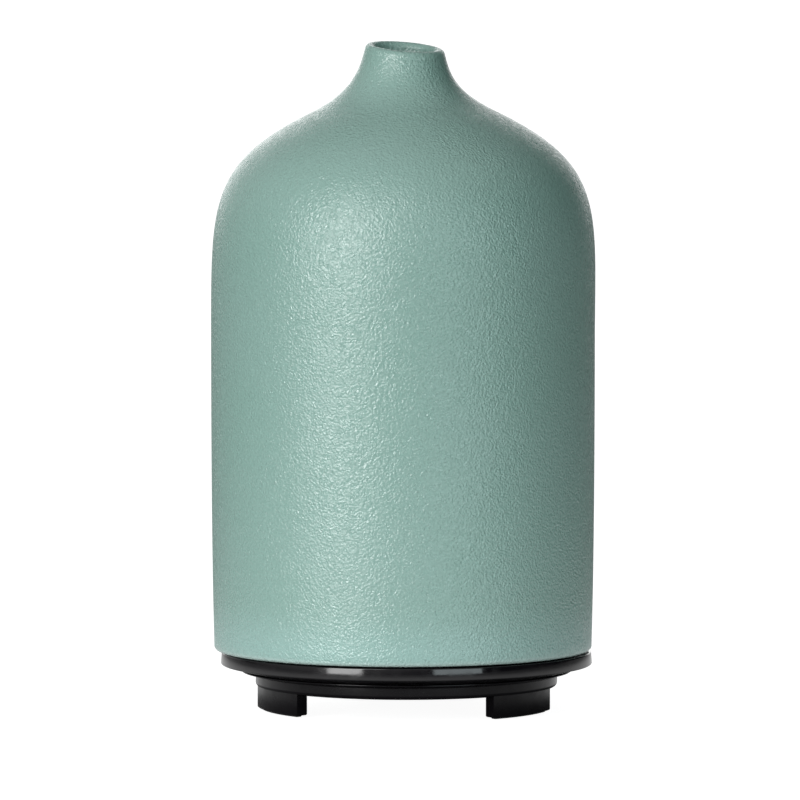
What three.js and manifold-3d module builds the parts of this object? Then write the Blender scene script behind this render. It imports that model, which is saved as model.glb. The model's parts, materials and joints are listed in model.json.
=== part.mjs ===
// Essential oil diffuser: a ceramic cover over a plastic tank with an ultrasonic disc and a fan.
// Millimetres, +Z up. The origin is on the table, on the base's axis. The front faces -Y.

import * as THREE from 'three';
import { mergeVertices } from 'three/addons/utils/BufferGeometryUtils.js';
import Module from 'manifold-3d';

const wasm = await Module();
wasm.setup();

// Driving dimensions

// The clearance between pieces that touch.
const GAP = 0.3;

const COVER_R = 48;
const COVER_FOOT_R = 46.2;
const COVER_DRAFT = 0.7;
const COVER_WALL = 4.2;
const COVER_BOTTOM_Z = 14.7;
const COVER_X = -0.85;
const COVER_Y = -0.08;
const SHOULDER_Z = 92;
const NECK_R = 23;
const NECK_Z = 149.3;
const NECK_ANGLE = THREE.MathUtils.degToRad(26);
const NECK_LEAN_X = 0.5;
const NECK_LEAN_Y = 0.05;
const SHOULDER_HANDLE = 34;
const NECK_HANDLE_BELOW = 30;
const NECK_HANDLE_ABOVE = 12;
const MOUTH_R = 7.3;
const LIP_R = 1.35;
const LIP_Z = 164.3;
const RIM_SLOPE_X = -0.091;
const RIM_SLOPE_Y = 0.079;

const FLANGE_R = 46.45;
const FLANGE_DRAFT = 0.2;
const FLANGE_EDGE = 0.35;
const FLANGE_BOTTOM_Z = 11.1;
const FLANGE_TOP_Z = 14.3;
const LOCATING_R = 42;
const LOCATING_TOP_Z = 18;
const SPLIT_Z = 9.7;
const SPLIT_R = 41.2;
const TANK_OUTER_R = 39;
const TANK_INNER_R = 36.2;
const SHELL_INNER_R = 36.6;
const TANK_FLOOR_Z = 43.4;
const TANK_UNDERSIDE_Z = 40;
const TANK_RIM_Z = 76;
const DUCT_X = -27;
const DUCT_TOP_Z = 80;

const SKIRT_R = 37.75;
const SKIRT_BOTTOM_Z = 5.6;
const CONE_Z = 8.45;
const FLOOR_TOP_Z = 8.2;
const FOOT_OUTER_R = 37.4;
const FOOT_INNER_R = 34;
const FOOT_HALF_ANGLE = THREE.MathUtils.degToRad(19);
const FOOT_BOTTOM_Z = 0.4;
const PAD_TOP_Z = 1.1;
const REAR_PAD_HALF_X = 11.9;
const REAR_PAD_HALF_Y = 3;
const REAR_PAD_Y = 28;
const PANEL_Y = 35.6;
const PANEL_INNER_Y = 33.2;
const POD_HALF_WIDTH = 15.3;
const POD_FRONT_Y = 18.7;
const POCKET_HALF_WIDTH = 13;
const CAVITY_HALF_WIDTH = 13.5;
const CAVITY_FRONT_Y = 20.5;
const CAVITY_BOTTOM_Z = 1.8;

const LID_R = 41.2;
const LID_WALL = 1.8;
const LID_BOTTOM_Z = 66;
const LID_SHOULDER_Z = 78;
const CHIMNEY_R = 8.6;
const CHIMNEY_BASE_Z = 104;
const CHIMNEY_TOP_R = 7.6;
const CHIMNEY_TOP_Z = 150;

const CONTROL_Z = 5.6;
const BUTTON_X = 9.4;
const BUTTON_R = 2.2;
const JACK_BORE_R = 2.85;
const JACK_NOSE_R = 3.4;

const FAN_Y = -3;
const FAN_SIDE = 30;
const FAN_BOTTOM_Z = 8.5;
const FAN_TOP_Z = 18.5;
const FAN_BORE_R = 14;
const FAN_SCREW_OFFSET = 12;

const PCB_BOTTOM_Z = 24;
const PCB_TOP_Z = 25.6;
const PCB_R = 34;
const BOSS_ORBIT = 31.5;
const BOSS_R = 3.2;
const PILOT_R = 1.1;
const SCREW_R = 0.9;
const PCB_SCREW_ORBIT = 28;
const PART_BOTTOM_Z = PCB_TOP_Z + GAP;
const LED_X = 13;
const LED_Y = 20;
const LED_R = 2.5;
const WINDOW_R = 2.7;

const TRANSDUCER_R = 8;
const CLAMP_R = 14.8;
const CLAMP_SCREW_ORBIT = 12.6;

const LARGE_SEGMENTS = 32;
const SMALL_SEGMENTS = 24;
const THIRD_TURN = (2 * Math.PI) / 3;

// Materials

function plastic(color, roughness) {
  return new THREE.MeshStandardMaterial({ color, roughness, metalness: 0 });
}

function metal(color, roughness) {
  return new THREE.MeshStandardMaterial({ color, roughness, metalness: 1 });
}

const glaze = plastic(0x8fafa4, 0.34);
const glossBlack = plastic(0x101011, 0.12);
const frostedWhite = plastic(0xe4e6e4, 0.45);
const darkRubber = plastic(0x1b1b1c, 0.8);
const paleRubber = plastic(0xb9bab6, 0.75);
const fanBlack = plastic(0x17181a, 0.5);
const boardGreen = plastic(0x1d5a38, 0.4);
const componentBlack = plastic(0x151517, 0.45);
const connectorCream = plastic(0xe8e1cc, 0.4);
const clearPlastic = plastic(0xdfe8ea, 0.1);
const wireRed = plastic(0xa81c1c, 0.45);
const wireBlack = plastic(0x1a1a1a, 0.45);
const screwSteel = metal(0xb8babd, 0.35);
const discMetal = metal(0xc9ccd0, 0.25);
const brass = metal(0xc2a15a, 0.3);
const copper = metal(0xb4653a, 0.4);
const aluminium = metal(0xb5b8bb, 0.4);

// Solids

function toSolid(geometry) {
  const bare = geometry.index ? geometry.clone() : geometry;
  bare.deleteAttribute('normal');
  bare.deleteAttribute('uv');
  const merged = mergeVertices(bare, 1e-4);
  return new wasm.Manifold(new wasm.Mesh({
    numProp: 3,
    vertProperties: new Float32Array(merged.attributes.position.array),
    triVerts: new Uint32Array(merged.index.array),
  }));
}

function toGeometry(solid) {
  const mesh = solid.getMesh();
  const geometry = new THREE.BufferGeometry();
  geometry.setAttribute('position', new THREE.BufferAttribute(mesh.vertProperties, 3));
  geometry.setIndex(new THREE.BufferAttribute(mesh.triVerts, 1));
  geometry.computeVertexNormals();
  return geometry;
}

function carve(base, added, removed) {
  let solid = toSolid(base);
  for (const piece of added) {
    solid = solid.add(toSolid(piece));
  }
  for (const piece of removed) {
    solid = solid.subtract(toSolid(piece));
  }
  return toGeometry(solid);
}

// A solid of revolution about Z from a closed outline of Vector2(radius, height).
function revolve(outline, segments) {
  const closed = [...outline, outline[0].clone()];
  const turnsOutward = THREE.ShapeUtils.area(outline) > 0;
  const profile = turnsOutward ? closed : closed.reverse();
  return new THREE.LatheGeometry(profile, segments).rotateX(Math.PI / 2);
}

function ring(innerR, outerR, bottomZ, topZ, segments) {
  const outline = [
    new THREE.Vector2(innerR, bottomZ),
    new THREE.Vector2(outerR, bottomZ),
    new THREE.Vector2(outerR, topZ),
    new THREE.Vector2(innerR, topZ),
  ];
  return revolve(outline, segments);
}

function box(x0, x1, y0, y1, z0, z1) {
  const geometry = new THREE.BoxGeometry(x1 - x0, y1 - y0, z1 - z0);
  return geometry.translate((x0 + x1) / 2, (y0 + y1) / 2, (z0 + z1) / 2);
}

function postZ(radius, x, y, z0, z1, segments = 16) {
  const geometry = new THREE.CylinderGeometry(radius, radius, z1 - z0, segments);
  return geometry.rotateX(Math.PI / 2).translate(x, y, (z0 + z1) / 2);
}

function postY(radius, x, z, y0, y1, segments = 20) {
  const geometry = new THREE.CylinderGeometry(radius, radius, y1 - y0, segments);
  return geometry.translate(x, (y0 + y1) / 2, z);
}

function prism(shape, z0, z1, curveSegments = 12) {
  const options = { depth: z1 - z0, bevelEnabled: false, curveSegments };
  return new THREE.ExtrudeGeometry(shape, options).translate(0, 0, z0);
}

// A sector of a ring wall, centred on an angle counted from the front towards +X.
function arcWall(innerR, outerR, angle, halfAngle, z0, z1) {
  const middle = angle - Math.PI / 2;
  const shape = new THREE.Shape();
  shape.absarc(0, 0, outerR, middle - halfAngle, middle + halfAngle, false);
  shape.absarc(0, 0, innerR, middle + halfAngle, middle - halfAngle, true);
  shape.closePath();
  return prism(shape, z0, z1, 10);
}

function orbit(radius, angle) {
  return new THREE.Vector2(radius * Math.sin(angle), -radius * Math.cos(angle));
}

function arcPoints(centreR, centreZ, radius, startDeg, endDeg, steps) {
  const points = [];
  for (let i = 0; i <= steps; i += 1) {
    const angle = THREE.MathUtils.degToRad(startDeg + ((endDeg - startDeg) * i) / steps);
    points.push(new THREE.Vector2(
      centreR + radius * Math.cos(angle),
      centreZ + radius * Math.sin(angle),
    ));
  }
  return points;
}

function wire(points, radius, steps) {
  const path = new THREE.CatmullRomCurve3(points);
  const section = new THREE.Shape().absarc(0, 0, radius, 0, 2 * Math.PI, false);
  return new THREE.ExtrudeGeometry(section, { extrudePath: path, steps, curveSegments: 4 });
}

// Ceramic cover

// The outer silhouette, from the foot up to the mouth: body, convex shoulder, concave neck.
function coverSilhouette() {
  const slope = new THREE.Vector2(-Math.cos(NECK_ANGLE), Math.sin(NECK_ANGLE));
  const neck = new THREE.Vector2(NECK_R, NECK_Z);
  const lipOuter = new THREE.Vector2(MOUTH_R + 2 * LIP_R, LIP_Z);
  const body = new THREE.CubicBezierCurve(
    new THREE.Vector2(COVER_R - COVER_DRAFT, COVER_BOTTOM_Z + 3),
    new THREE.Vector2(COVER_R - 0.2, COVER_BOTTOM_Z + 20),
    new THREE.Vector2(COVER_R, SHOULDER_Z - 30),
    new THREE.Vector2(COVER_R, SHOULDER_Z),
  );
  const shoulder = new THREE.CubicBezierCurve(
    new THREE.Vector2(COVER_R, SHOULDER_Z),
    new THREE.Vector2(COVER_R, SHOULDER_Z + SHOULDER_HANDLE),
    neck.clone().addScaledVector(slope, -NECK_HANDLE_BELOW),
    neck,
  );
  const throat = new THREE.CubicBezierCurve(
    neck,
    neck.clone().addScaledVector(slope, NECK_HANDLE_ABOVE),
    lipOuter.clone().add(new THREE.Vector2(1.2, -4.2)),
    lipOuter,
  );
  const foot = arcPoints(COVER_FOOT_R, COVER_BOTTOM_Z + 1.1, 1.1, -90, -20, 2);
  return [
    ...foot,
    ...body.getPoints(2),
    ...shoulder.getPoints(8).slice(1),
    ...throat.getPoints(5).slice(1),
  ];
}

// Each point moved square to the curve by the wall, which thins towards the lip.
function innerWall(outer) {
  const inner = [];
  for (let i = 4; i < outer.length - 2; i += 1) {
    const along = outer[i + 1].clone().sub(outer[i - 1]).normalize();
    const inward = new THREE.Vector2(-along.y, along.x);
    const thinning = THREE.MathUtils.smoothstep(outer[i].y, NECK_Z - 4, LIP_Z);
    const wall = THREE.MathUtils.lerp(COVER_WALL, 2 * LIP_R, thinning);
    inner.push(outer[i].clone().addScaledVector(inward, wall));
  }
  return inner;
}

// Leans the neck a little and tilts the mouth, as on a cover that was cast and trimmed by hand.
function shapeByHand(geometry) {
  const position = geometry.attributes.position;
  for (let i = 0; i < position.count; i += 1) {
    const lean = THREE.MathUtils.smoothstep(position.getZ(i), SHOULDER_Z, NECK_Z);
    const tilt = THREE.MathUtils.smoothstep(position.getZ(i), NECK_Z, LIP_Z);
    const rise = RIM_SLOPE_X * position.getX(i) + RIM_SLOPE_Y * position.getY(i);
    position.setX(i, position.getX(i) + lean * NECK_LEAN_X);
    position.setY(i, position.getY(i) + lean * NECK_LEAN_Y);
    position.setZ(i, position.getZ(i) + tilt * rise);
  }
  return geometry;
}

function ceramicCover() {
  const outer = coverSilhouette();
  const lip = arcPoints(MOUTH_R + LIP_R, LIP_Z, LIP_R, 45, 180, 3);
  const inner = innerWall(outer).reverse();
  const insideFoot = [
    new THREE.Vector2(COVER_R - COVER_DRAFT - COVER_WALL, COVER_BOTTOM_Z + 3),
    new THREE.Vector2(COVER_R - 0.3 - COVER_WALL, COVER_BOTTOM_Z),
  ];
  const throatBottom = new THREE.Vector2(MOUTH_R, LIP_Z - 6);
  const outline = [...outer, ...lip, throatBottom, ...inner, ...insideFoot];
  return shapeByHand(revolve(outline, LARGE_SEGMENTS));
}

// Inner lid: a dome with a chimney, resting over the rim of the tank.
function innerLid() {
  const dome = new THREE.CubicBezierCurve(
    new THREE.Vector2(LID_R, LID_SHOULDER_Z),
    new THREE.Vector2(LID_R, LID_SHOULDER_Z + 17),
    new THREE.Vector2(CHIMNEY_R + 9, CHIMNEY_BASE_Z - 4),
    new THREE.Vector2(CHIMNEY_R, CHIMNEY_BASE_Z + 4),
  ).getPoints(6);
  const ceiling = new THREE.CubicBezierCurve(
    new THREE.Vector2(CHIMNEY_R - LID_WALL, CHIMNEY_BASE_Z + 2),
    new THREE.Vector2(CHIMNEY_R + 8, CHIMNEY_BASE_Z - 6.5),
    new THREE.Vector2(LID_R - LID_WALL - 1, LID_SHOULDER_Z + 16),
    new THREE.Vector2(LID_R - LID_WALL - 1, LID_SHOULDER_Z),
  ).getPoints(6);
  const outline = [
    new THREE.Vector2(LID_R - LID_WALL, LID_BOTTOM_Z),
    new THREE.Vector2(LID_R, LID_BOTTOM_Z),
    ...dome,
    new THREE.Vector2(CHIMNEY_TOP_R, CHIMNEY_TOP_Z),
    new THREE.Vector2(CHIMNEY_TOP_R - LID_WALL, CHIMNEY_TOP_Z),
    ...ceiling,
    new THREE.Vector2(TANK_INNER_R + GAP, TANK_RIM_Z + 2),
    new THREE.Vector2(TANK_INNER_R + GAP, TANK_RIM_Z + GAP),
    new THREE.Vector2(LID_R - LID_WALL, TANK_RIM_Z + GAP),
  ];
  return revolve(outline, LARGE_SEGMENTS);
}

// Upper housing: flange, locating rim, tank cup, air duct and screw bosses in one moulding.

function upperHousingShell() {
  const outline = [
    new THREE.Vector2(SHELL_INNER_R, SPLIT_Z + 0.2),
    new THREE.Vector2(SPLIT_R, SPLIT_Z + 0.2),
    ...arcPoints(FLANGE_R - FLANGE_EDGE, FLANGE_BOTTOM_Z + FLANGE_EDGE, FLANGE_EDGE, -75, 0, 2),
    new THREE.Vector2(FLANGE_R - FLANGE_DRAFT, FLANGE_TOP_Z - FLANGE_EDGE),
    new THREE.Vector2(FLANGE_R - FLANGE_DRAFT - FLANGE_EDGE, FLANGE_TOP_Z),
    new THREE.Vector2(LOCATING_R, FLANGE_TOP_Z),
    new THREE.Vector2(LOCATING_R, LOCATING_TOP_Z - 0.6),
    new THREE.Vector2(LOCATING_R - 0.6, LOCATING_TOP_Z),
    new THREE.Vector2(TANK_OUTER_R, LOCATING_TOP_Z),
    new THREE.Vector2(TANK_OUTER_R, TANK_RIM_Z),
    new THREE.Vector2(TANK_INNER_R, TANK_RIM_Z),
    ...arcPoints(TANK_INNER_R - 4, TANK_FLOOR_Z + 7, 4, 0, -75, 4),
    new THREE.Vector2(TRANSDUCER_R + 3, TANK_FLOOR_Z),
    new THREE.Vector2(TRANSDUCER_R - 1.5, TANK_FLOOR_Z - 1),
    new THREE.Vector2(TRANSDUCER_R - 1.5, TANK_UNDERSIDE_Z + 0.6),
    new THREE.Vector2(TRANSDUCER_R + 2.3, TANK_UNDERSIDE_Z + 0.6),
    new THREE.Vector2(TRANSDUCER_R + 2.3, TANK_UNDERSIDE_Z - 3),
    new THREE.Vector2(CLAMP_R, TANK_UNDERSIDE_Z - 3),
    new THREE.Vector2(CLAMP_R, TANK_UNDERSIDE_Z),
    new THREE.Vector2(SHELL_INNER_R, TANK_UNDERSIDE_Z + 3),
  ];
  return revolve(outline, LARGE_SEGMENTS);
}

function ductBlock(halfX, halfY, z0, z1) {
  return box(DUCT_X - halfX, DUCT_X + halfX, -halfY, halfY, z0, z1);
}

function upperHousing() {
  const added = [ductBlock(4.2, 7, TANK_UNDERSIDE_Z + 1.5, DUCT_TOP_Z)];
  const removed = [ductBlock(2.7, 5.5, TANK_UNDERSIDE_Z - 5, DUCT_TOP_Z + 1)];
  for (let i = 0; i < 3; i += 1) {
    const boss = orbit(BOSS_ORBIT, i * THIRD_TURN);
    added.push(postZ(BOSS_R, boss.x, boss.y, FLOOR_TOP_Z + 0.4, TANK_UNDERSIDE_Z + 4, 12));
    removed.push(postZ(PILOT_R, boss.x, boss.y, FLOOR_TOP_Z - 1, FLOOR_TOP_Z + 14, 10));
    const pilot = orbit(CLAMP_SCREW_ORBIT, (i + 0.5) * THIRD_TURN);
    removed.push(postZ(PILOT_R, pilot.x, pilot.y, TANK_UNDERSIDE_Z - 4, TANK_UNDERSIDE_Z + 1, 10));
  }
  for (const side of [-1, 1]) {
    const post = orbit(PCB_SCREW_ORBIT, (side * THIRD_TURN) / 2);
    added.push(postZ(2.8, post.x, post.y, PCB_TOP_Z + GAP, TANK_UNDERSIDE_Z + 3, 12));
    removed.push(postZ(PILOT_R, post.x, post.y, PCB_TOP_Z - 1, PCB_TOP_Z + 8, 10));
    removed.push(postZ(WINDOW_R + GAP, side * LED_X, LED_Y, TANK_UNDERSIDE_Z - 2,
      TANK_FLOOR_Z + 6));
  }
  return carve(upperHousingShell(), added, removed);
}

// Lower housing: skirt, cone, floor, intake grille, two plain feet and the rear control pod.

function lowerHousingShell() {
  const outline = [
    new THREE.Vector2(0, SKIRT_BOTTOM_Z),
    ...arcPoints(SKIRT_R - 1, SKIRT_BOTTOM_Z + 1, 1, -90, 0, 3),
    new THREE.Vector2(SKIRT_R, CONE_Z),
    new THREE.Vector2(SPLIT_R, SPLIT_Z - 0.35),
    new THREE.Vector2(SPLIT_R, SPLIT_Z - 0.1),
    new THREE.Vector2(SHELL_INNER_R - 0.3, SPLIT_Z - 0.1),
    new THREE.Vector2(SHELL_INNER_R - 0.3, SPLIT_Z + 1.5),
    new THREE.Vector2(SHELL_INNER_R - 1.6, SPLIT_Z + 1.5),
    new THREE.Vector2(SHELL_INNER_R - 1.6, FLOOR_TOP_Z),
    new THREE.Vector2(0, FLOOR_TOP_Z),
  ];
  const profile = THREE.ShapeUtils.area(outline) > 0 ? outline : outline.reverse();
  return new THREE.LatheGeometry(profile, LARGE_SEGMENTS).rotateX(Math.PI / 2);
}

function podOutline() {
  const halfAngle = Math.asin(POD_HALF_WIDTH / SKIRT_R);
  const shape = new THREE.Shape();
  shape.moveTo(-POD_HALF_WIDTH, POD_FRONT_Y);
  shape.lineTo(POD_HALF_WIDTH, POD_FRONT_Y);
  shape.absarc(0, 0, SKIRT_R, Math.PI / 2 - halfAngle, Math.PI / 2 + halfAngle, false);
  shape.closePath();
  return shape;
}

function grilleSlots() {
  const slots = [];
  const reach = 13;
  const pitch = 4.4;
  const halfSlot = 1.1;
  for (let i = -2; i <= 2; i += 1) {
    const half = Math.sqrt(reach * reach - i * i * pitch * pitch);
    const x = i * pitch;
    slots.push(box(x - halfSlot, x + halfSlot, FAN_Y - half, FAN_Y + half,
      SKIRT_BOTTOM_Z - 1, FLOOR_TOP_Z + 1));
  }
  return slots;
}

function lowerHousing() {
  const added = [prism(podOutline(), FOOT_BOTTOM_Z, FLOOR_TOP_Z, 12)];
  const cavityTop = SPLIT_Z + 3;
  const removed = [
    box(-CAVITY_HALF_WIDTH, CAVITY_HALF_WIDTH, CAVITY_FRONT_Y, PANEL_INNER_Y,
      CAVITY_BOTTOM_Z, cavityTop),
    box(-POCKET_HALF_WIDTH, POCKET_HALF_WIDTH, PANEL_Y, SPLIT_R + 1, FOOT_BOTTOM_Z - 1, cavityTop),
    box(-REAR_PAD_HALF_X - GAP, REAR_PAD_HALF_X + GAP, REAR_PAD_Y - REAR_PAD_HALF_Y - GAP,
      REAR_PAD_Y + REAR_PAD_HALF_Y + GAP, FOOT_BOTTOM_Z - 1, PAD_TOP_Z + GAP),
    postY(JACK_NOSE_R + GAP, 0, CONTROL_Z, PANEL_INNER_Y - 1, PANEL_Y + 1, 24),
    ...grilleSlots(),
  ];
  for (const side of [-1, 1]) {
    const angle = (side * THIRD_TURN) / 2;
    added.push(arcWall(FOOT_INNER_R, FOOT_OUTER_R, angle, FOOT_HALF_ANGLE,
      FOOT_BOTTOM_Z, FLOOR_TOP_Z - 1));
    removed.push(arcWall(FOOT_INNER_R + 0.6, FOOT_OUTER_R - 0.6, angle,
      FOOT_HALF_ANGLE - 0.02, FOOT_BOTTOM_Z - 1, PAD_TOP_Z + GAP));
    removed.push(postY(BUTTON_R + GAP, side * BUTTON_X, CONTROL_Z,
      PANEL_INNER_Y - 1, PANEL_Y + 1));
    removed.push(postZ(PILOT_R, side * FAN_SCREW_OFFSET, FAN_Y + side * FAN_SCREW_OFFSET,
      FLOOR_TOP_Z - 1.4, FLOOR_TOP_Z + 1, 10));
  }
  for (let i = 0; i < 3; i += 1) {
    const boss = orbit(BOSS_ORBIT, i * THIRD_TURN);
    removed.push(postZ(1.4, boss.x, boss.y, SKIRT_BOTTOM_Z - 1, FLOOR_TOP_Z + 1, 12));
    removed.push(postZ(2.6, boss.x, boss.y, SKIRT_BOTTOM_Z - 1, SKIRT_BOTTOM_Z + 1.2));
  }
  return carve(lowerHousingShell(), added, removed);
}

function sideFootPad(side) {
  return arcWall(FOOT_INNER_R + 0.9, FOOT_OUTER_R - 0.9, (side * THIRD_TURN) / 2,
    FOOT_HALF_ANGLE - 0.03, 0, PAD_TOP_Z);
}

function rearFootPad() {
  return box(-REAR_PAD_HALF_X, REAR_PAD_HALF_X, REAR_PAD_Y - REAR_PAD_HALF_Y,
    REAR_PAD_Y + REAR_PAD_HALF_Y, 0, PAD_TOP_Z);
}

// Rear controls

function button() {
  const cap = postY(BUTTON_R, 0, 0, 32.6, PANEL_Y + 0.8, 24);
  const flange = postY(BUTTON_R + 0.8, 0, 0, 31.6, 32.8, 24);
  return carve(flange, [cap], []);
}

function tactSwitch() {
  return carve(box(-3, 3, 27.3, 30.8, -3, 3), [], [postY(1.9, 0, 0, 28.1, 32, 16)]);
}

function dcJack() {
  const body = box(-4, 4, 22.5, 32.9, CONTROL_Z - 3.5, CONTROL_Z + 3.5);
  const nose = postY(JACK_NOSE_R, 0, CONTROL_Z, 32, 35.3, 24);
  const bore = postY(JACK_BORE_R, 0, CONTROL_Z, 25.5, 36, 24);
  const socket = postY(1.3, 0, CONTROL_Z, 24, 26, 12);
  return carve(body, [nose], [bore, socket]);
}

function controlBoard() {
  const shape = new THREE.Shape([
    new THREE.Vector2(-13, 2.4),
    new THREE.Vector2(-4.4, 2.4),
    new THREE.Vector2(-4.4, 9.5),
    new THREE.Vector2(4.4, 9.5),
    new THREE.Vector2(4.4, 2.4),
    new THREE.Vector2(13, 2.4),
    new THREE.Vector2(13, 22),
    new THREE.Vector2(-13, 22),
  ]);
  const options = { depth: 1.3, bevelEnabled: false };
  const board = new THREE.ExtrudeGeometry(shape, options);
  return board.rotateX(Math.PI / 2).translate(0, 27, 0);
}

// Fan

function fanFrame() {
  const half = FAN_SIDE / 2;
  const body = box(-half, half, -half, half, FAN_BOTTOM_Z, FAN_TOP_Z);
  const hubFloor = postZ(7, 0, 0, FAN_TOP_Z - 1.4, FAN_TOP_Z, 24);
  const bearingTube = postZ(2.6, 0, 0, FAN_BOTTOM_Z + 3, FAN_TOP_Z - 1, 16);
  const strutA = box(-FAN_BORE_R - 0.5, FAN_BORE_R + 0.5, -0.9, 0.9, FAN_TOP_Z - 1.4, FAN_TOP_Z);
  const strutB = box(-0.9, 0.9, -FAN_BORE_R - 0.5, FAN_BORE_R + 0.5, FAN_TOP_Z - 1.4, FAN_TOP_Z);
  let solid = toSolid(body).subtract(toSolid(postZ(FAN_BORE_R, 0, 0, 5, 20, SMALL_SEGMENTS)));
  for (const piece of [hubFloor, bearingTube, strutA, strutB]) {
    solid = solid.add(toSolid(piece));
  }
  solid = solid.subtract(toSolid(postZ(1.8, 0, 0, FAN_BOTTOM_Z, FAN_TOP_Z - 0.7, 16)));
  for (const [x, y] of [[-1, -1], [-1, 1], [1, -1], [1, 1]]) {
    const hole = postZ(1.5, x * FAN_SCREW_OFFSET, y * FAN_SCREW_OFFSET, 5, 20, 12);
    solid = solid.subtract(toSolid(hole));
  }
  return toGeometry(solid);
}

function fanRotor() {
  const hubR = 7.4;
  const hubInnerR = 6.4;
  const shaftHoleR = 1.1;
  const outline = [
    new THREE.Vector2(shaftHoleR, FAN_BOTTOM_Z + 0.8),
    new THREE.Vector2(hubR - 0.8, FAN_BOTTOM_Z + 0.8),
    new THREE.Vector2(hubR, FAN_BOTTOM_Z + 1.6),
    new THREE.Vector2(hubR, FAN_TOP_Z - 1.8),
    new THREE.Vector2(hubInnerR, FAN_TOP_Z - 1.8),
    new THREE.Vector2(hubInnerR, FAN_BOTTOM_Z + 2),
    new THREE.Vector2(shaftHoleR, FAN_BOTTOM_Z + 2),
  ];
  const blades = [];
  const count = 7;
  for (let i = 0; i < count; i += 1) {
    const blade = new THREE.BoxGeometry(6.6, 0.9, 8);
    blade.rotateX(THREE.MathUtils.degToRad(48)).translate(10.2, 0, FAN_BOTTOM_Z + 4.4);
    blades.push(blade.rotateZ((i * 2 * Math.PI) / count));
  }
  return carve(revolve(outline, 28), blades, []);
}

// Boards and components

function mainBoard() {
  const disc = postZ(PCB_R, 0, 0, PCB_BOTTOM_Z, PCB_TOP_Z, LARGE_SEGMENTS);
  const airNotch = box(-PCB_R - 1, -21.5, -9, 9, PCB_BOTTOM_Z - 1, PCB_TOP_Z + 1);
  const removed = [airNotch];
  for (let i = 0; i < 3; i += 1) {
    const boss = orbit(BOSS_ORBIT, i * THIRD_TURN);
    removed.push(postZ(BOSS_R + 0.5, boss.x, boss.y, PCB_BOTTOM_Z - 1, PCB_TOP_Z + 1));
  }
  for (const side of [-1, 1]) {
    const post = orbit(PCB_SCREW_ORBIT, (side * THIRD_TURN) / 2);
    removed.push(postZ(1.4, post.x, post.y, PCB_BOTTOM_Z - 1, PCB_TOP_Z + 1, 12));
  }
  return carve(disc, [], removed);
}

function heatSink() {
  const removed = [];
  const x0 = 17.6;
  const finPitch = 1.9;
  const slotWidth = 0.9;
  for (let i = 0; i < 4; i += 1) {
    const x = x0 + 1 + i * finPitch;
    removed.push(box(x, x + slotWidth, -8, 8, PCB_TOP_Z + 2, PCB_TOP_Z + 12));
  }
  const block = box(x0, x0 + 8.5, -6, 6, PART_BOTTOM_Z, PCB_TOP_Z + 8);
  return carve(block, [], removed);
}

function inductor(x, y) {
  const flangeR = 4.2;
  const windingR = 3.6;
  const topZ = PCB_TOP_Z + 6.7;
  const core = [
    new THREE.Vector2(0, PART_BOTTOM_Z),
    new THREE.Vector2(flangeR, PART_BOTTOM_Z),
    new THREE.Vector2(flangeR, PART_BOTTOM_Z + 1),
    new THREE.Vector2(windingR, PART_BOTTOM_Z + 1.4),
    new THREE.Vector2(windingR, topZ - 1.4),
    new THREE.Vector2(flangeR, topZ - 1),
    new THREE.Vector2(flangeR, topZ),
    new THREE.Vector2(0, topZ),
  ];
  return new THREE.LatheGeometry(core, 14).rotateX(Math.PI / 2).translate(x, y, 0);
}

// A screw that points up, its head's face at headZ0 with a cross recess.
function screw(x, y, headR, headZ0, headZ1, shankR, shankEndZ) {
  const shank = postZ(shankR, x, y, headZ1 - 0.1, shankEndZ, 10);
  const head = postZ(headR, x, y, headZ0, headZ1);
  const slotZ = headZ0 + 0.5;
  const crossA = box(x - 0.3 * headR, x + 0.3 * headR, y - 0.1 * headR, y + 0.1 * headR,
    headZ0 - 1, slotZ);
  const crossB = box(x - 0.1 * headR, x + 0.1 * headR, y - 0.3 * headR, y + 0.3 * headR,
    headZ0 - 1, slotZ);
  return carve(head, [shank], [crossA, crossB]);
}

// The lamp's dome points up at the window in the tank floor.
function led() {
  const domeZ = PCB_TOP_Z + 6;
  const profile = [
    new THREE.Vector2(0, PART_BOTTOM_Z),
    new THREE.Vector2(LED_R, PART_BOTTOM_Z),
    new THREE.Vector2(LED_R, domeZ),
    ...arcPoints(0, domeZ, LED_R, 20, 90, 4),
  ];
  return new THREE.LatheGeometry(profile, 12).rotateX(Math.PI / 2);
}

// Assembly

const diffuser = new THREE.Group();
diffuser.name = 'essential_oil_diffuser';

function add(name, geometry, material, x = 0, y = 0, z = 0) {
  const mesh = new THREE.Mesh(geometry, material);
  mesh.name = name;
  mesh.position.set(x, y, z);
  diffuser.add(mesh);
}

function addHousings() {
  add('ceramic_cover', ceramicCover(), glaze, COVER_X, COVER_Y);
  add('inner_lid', innerLid(), frostedWhite);
  add('upper_housing', upperHousing(), glossBlack);
  add('lower_housing', lowerHousing(), glossBlack);
  add('foot_pad_left', sideFootPad(-1), darkRubber);
  add('foot_pad_right', sideFootPad(1), darkRubber);
  add('foot_pad_rear', rearFootPad(), darkRubber);
}

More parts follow.
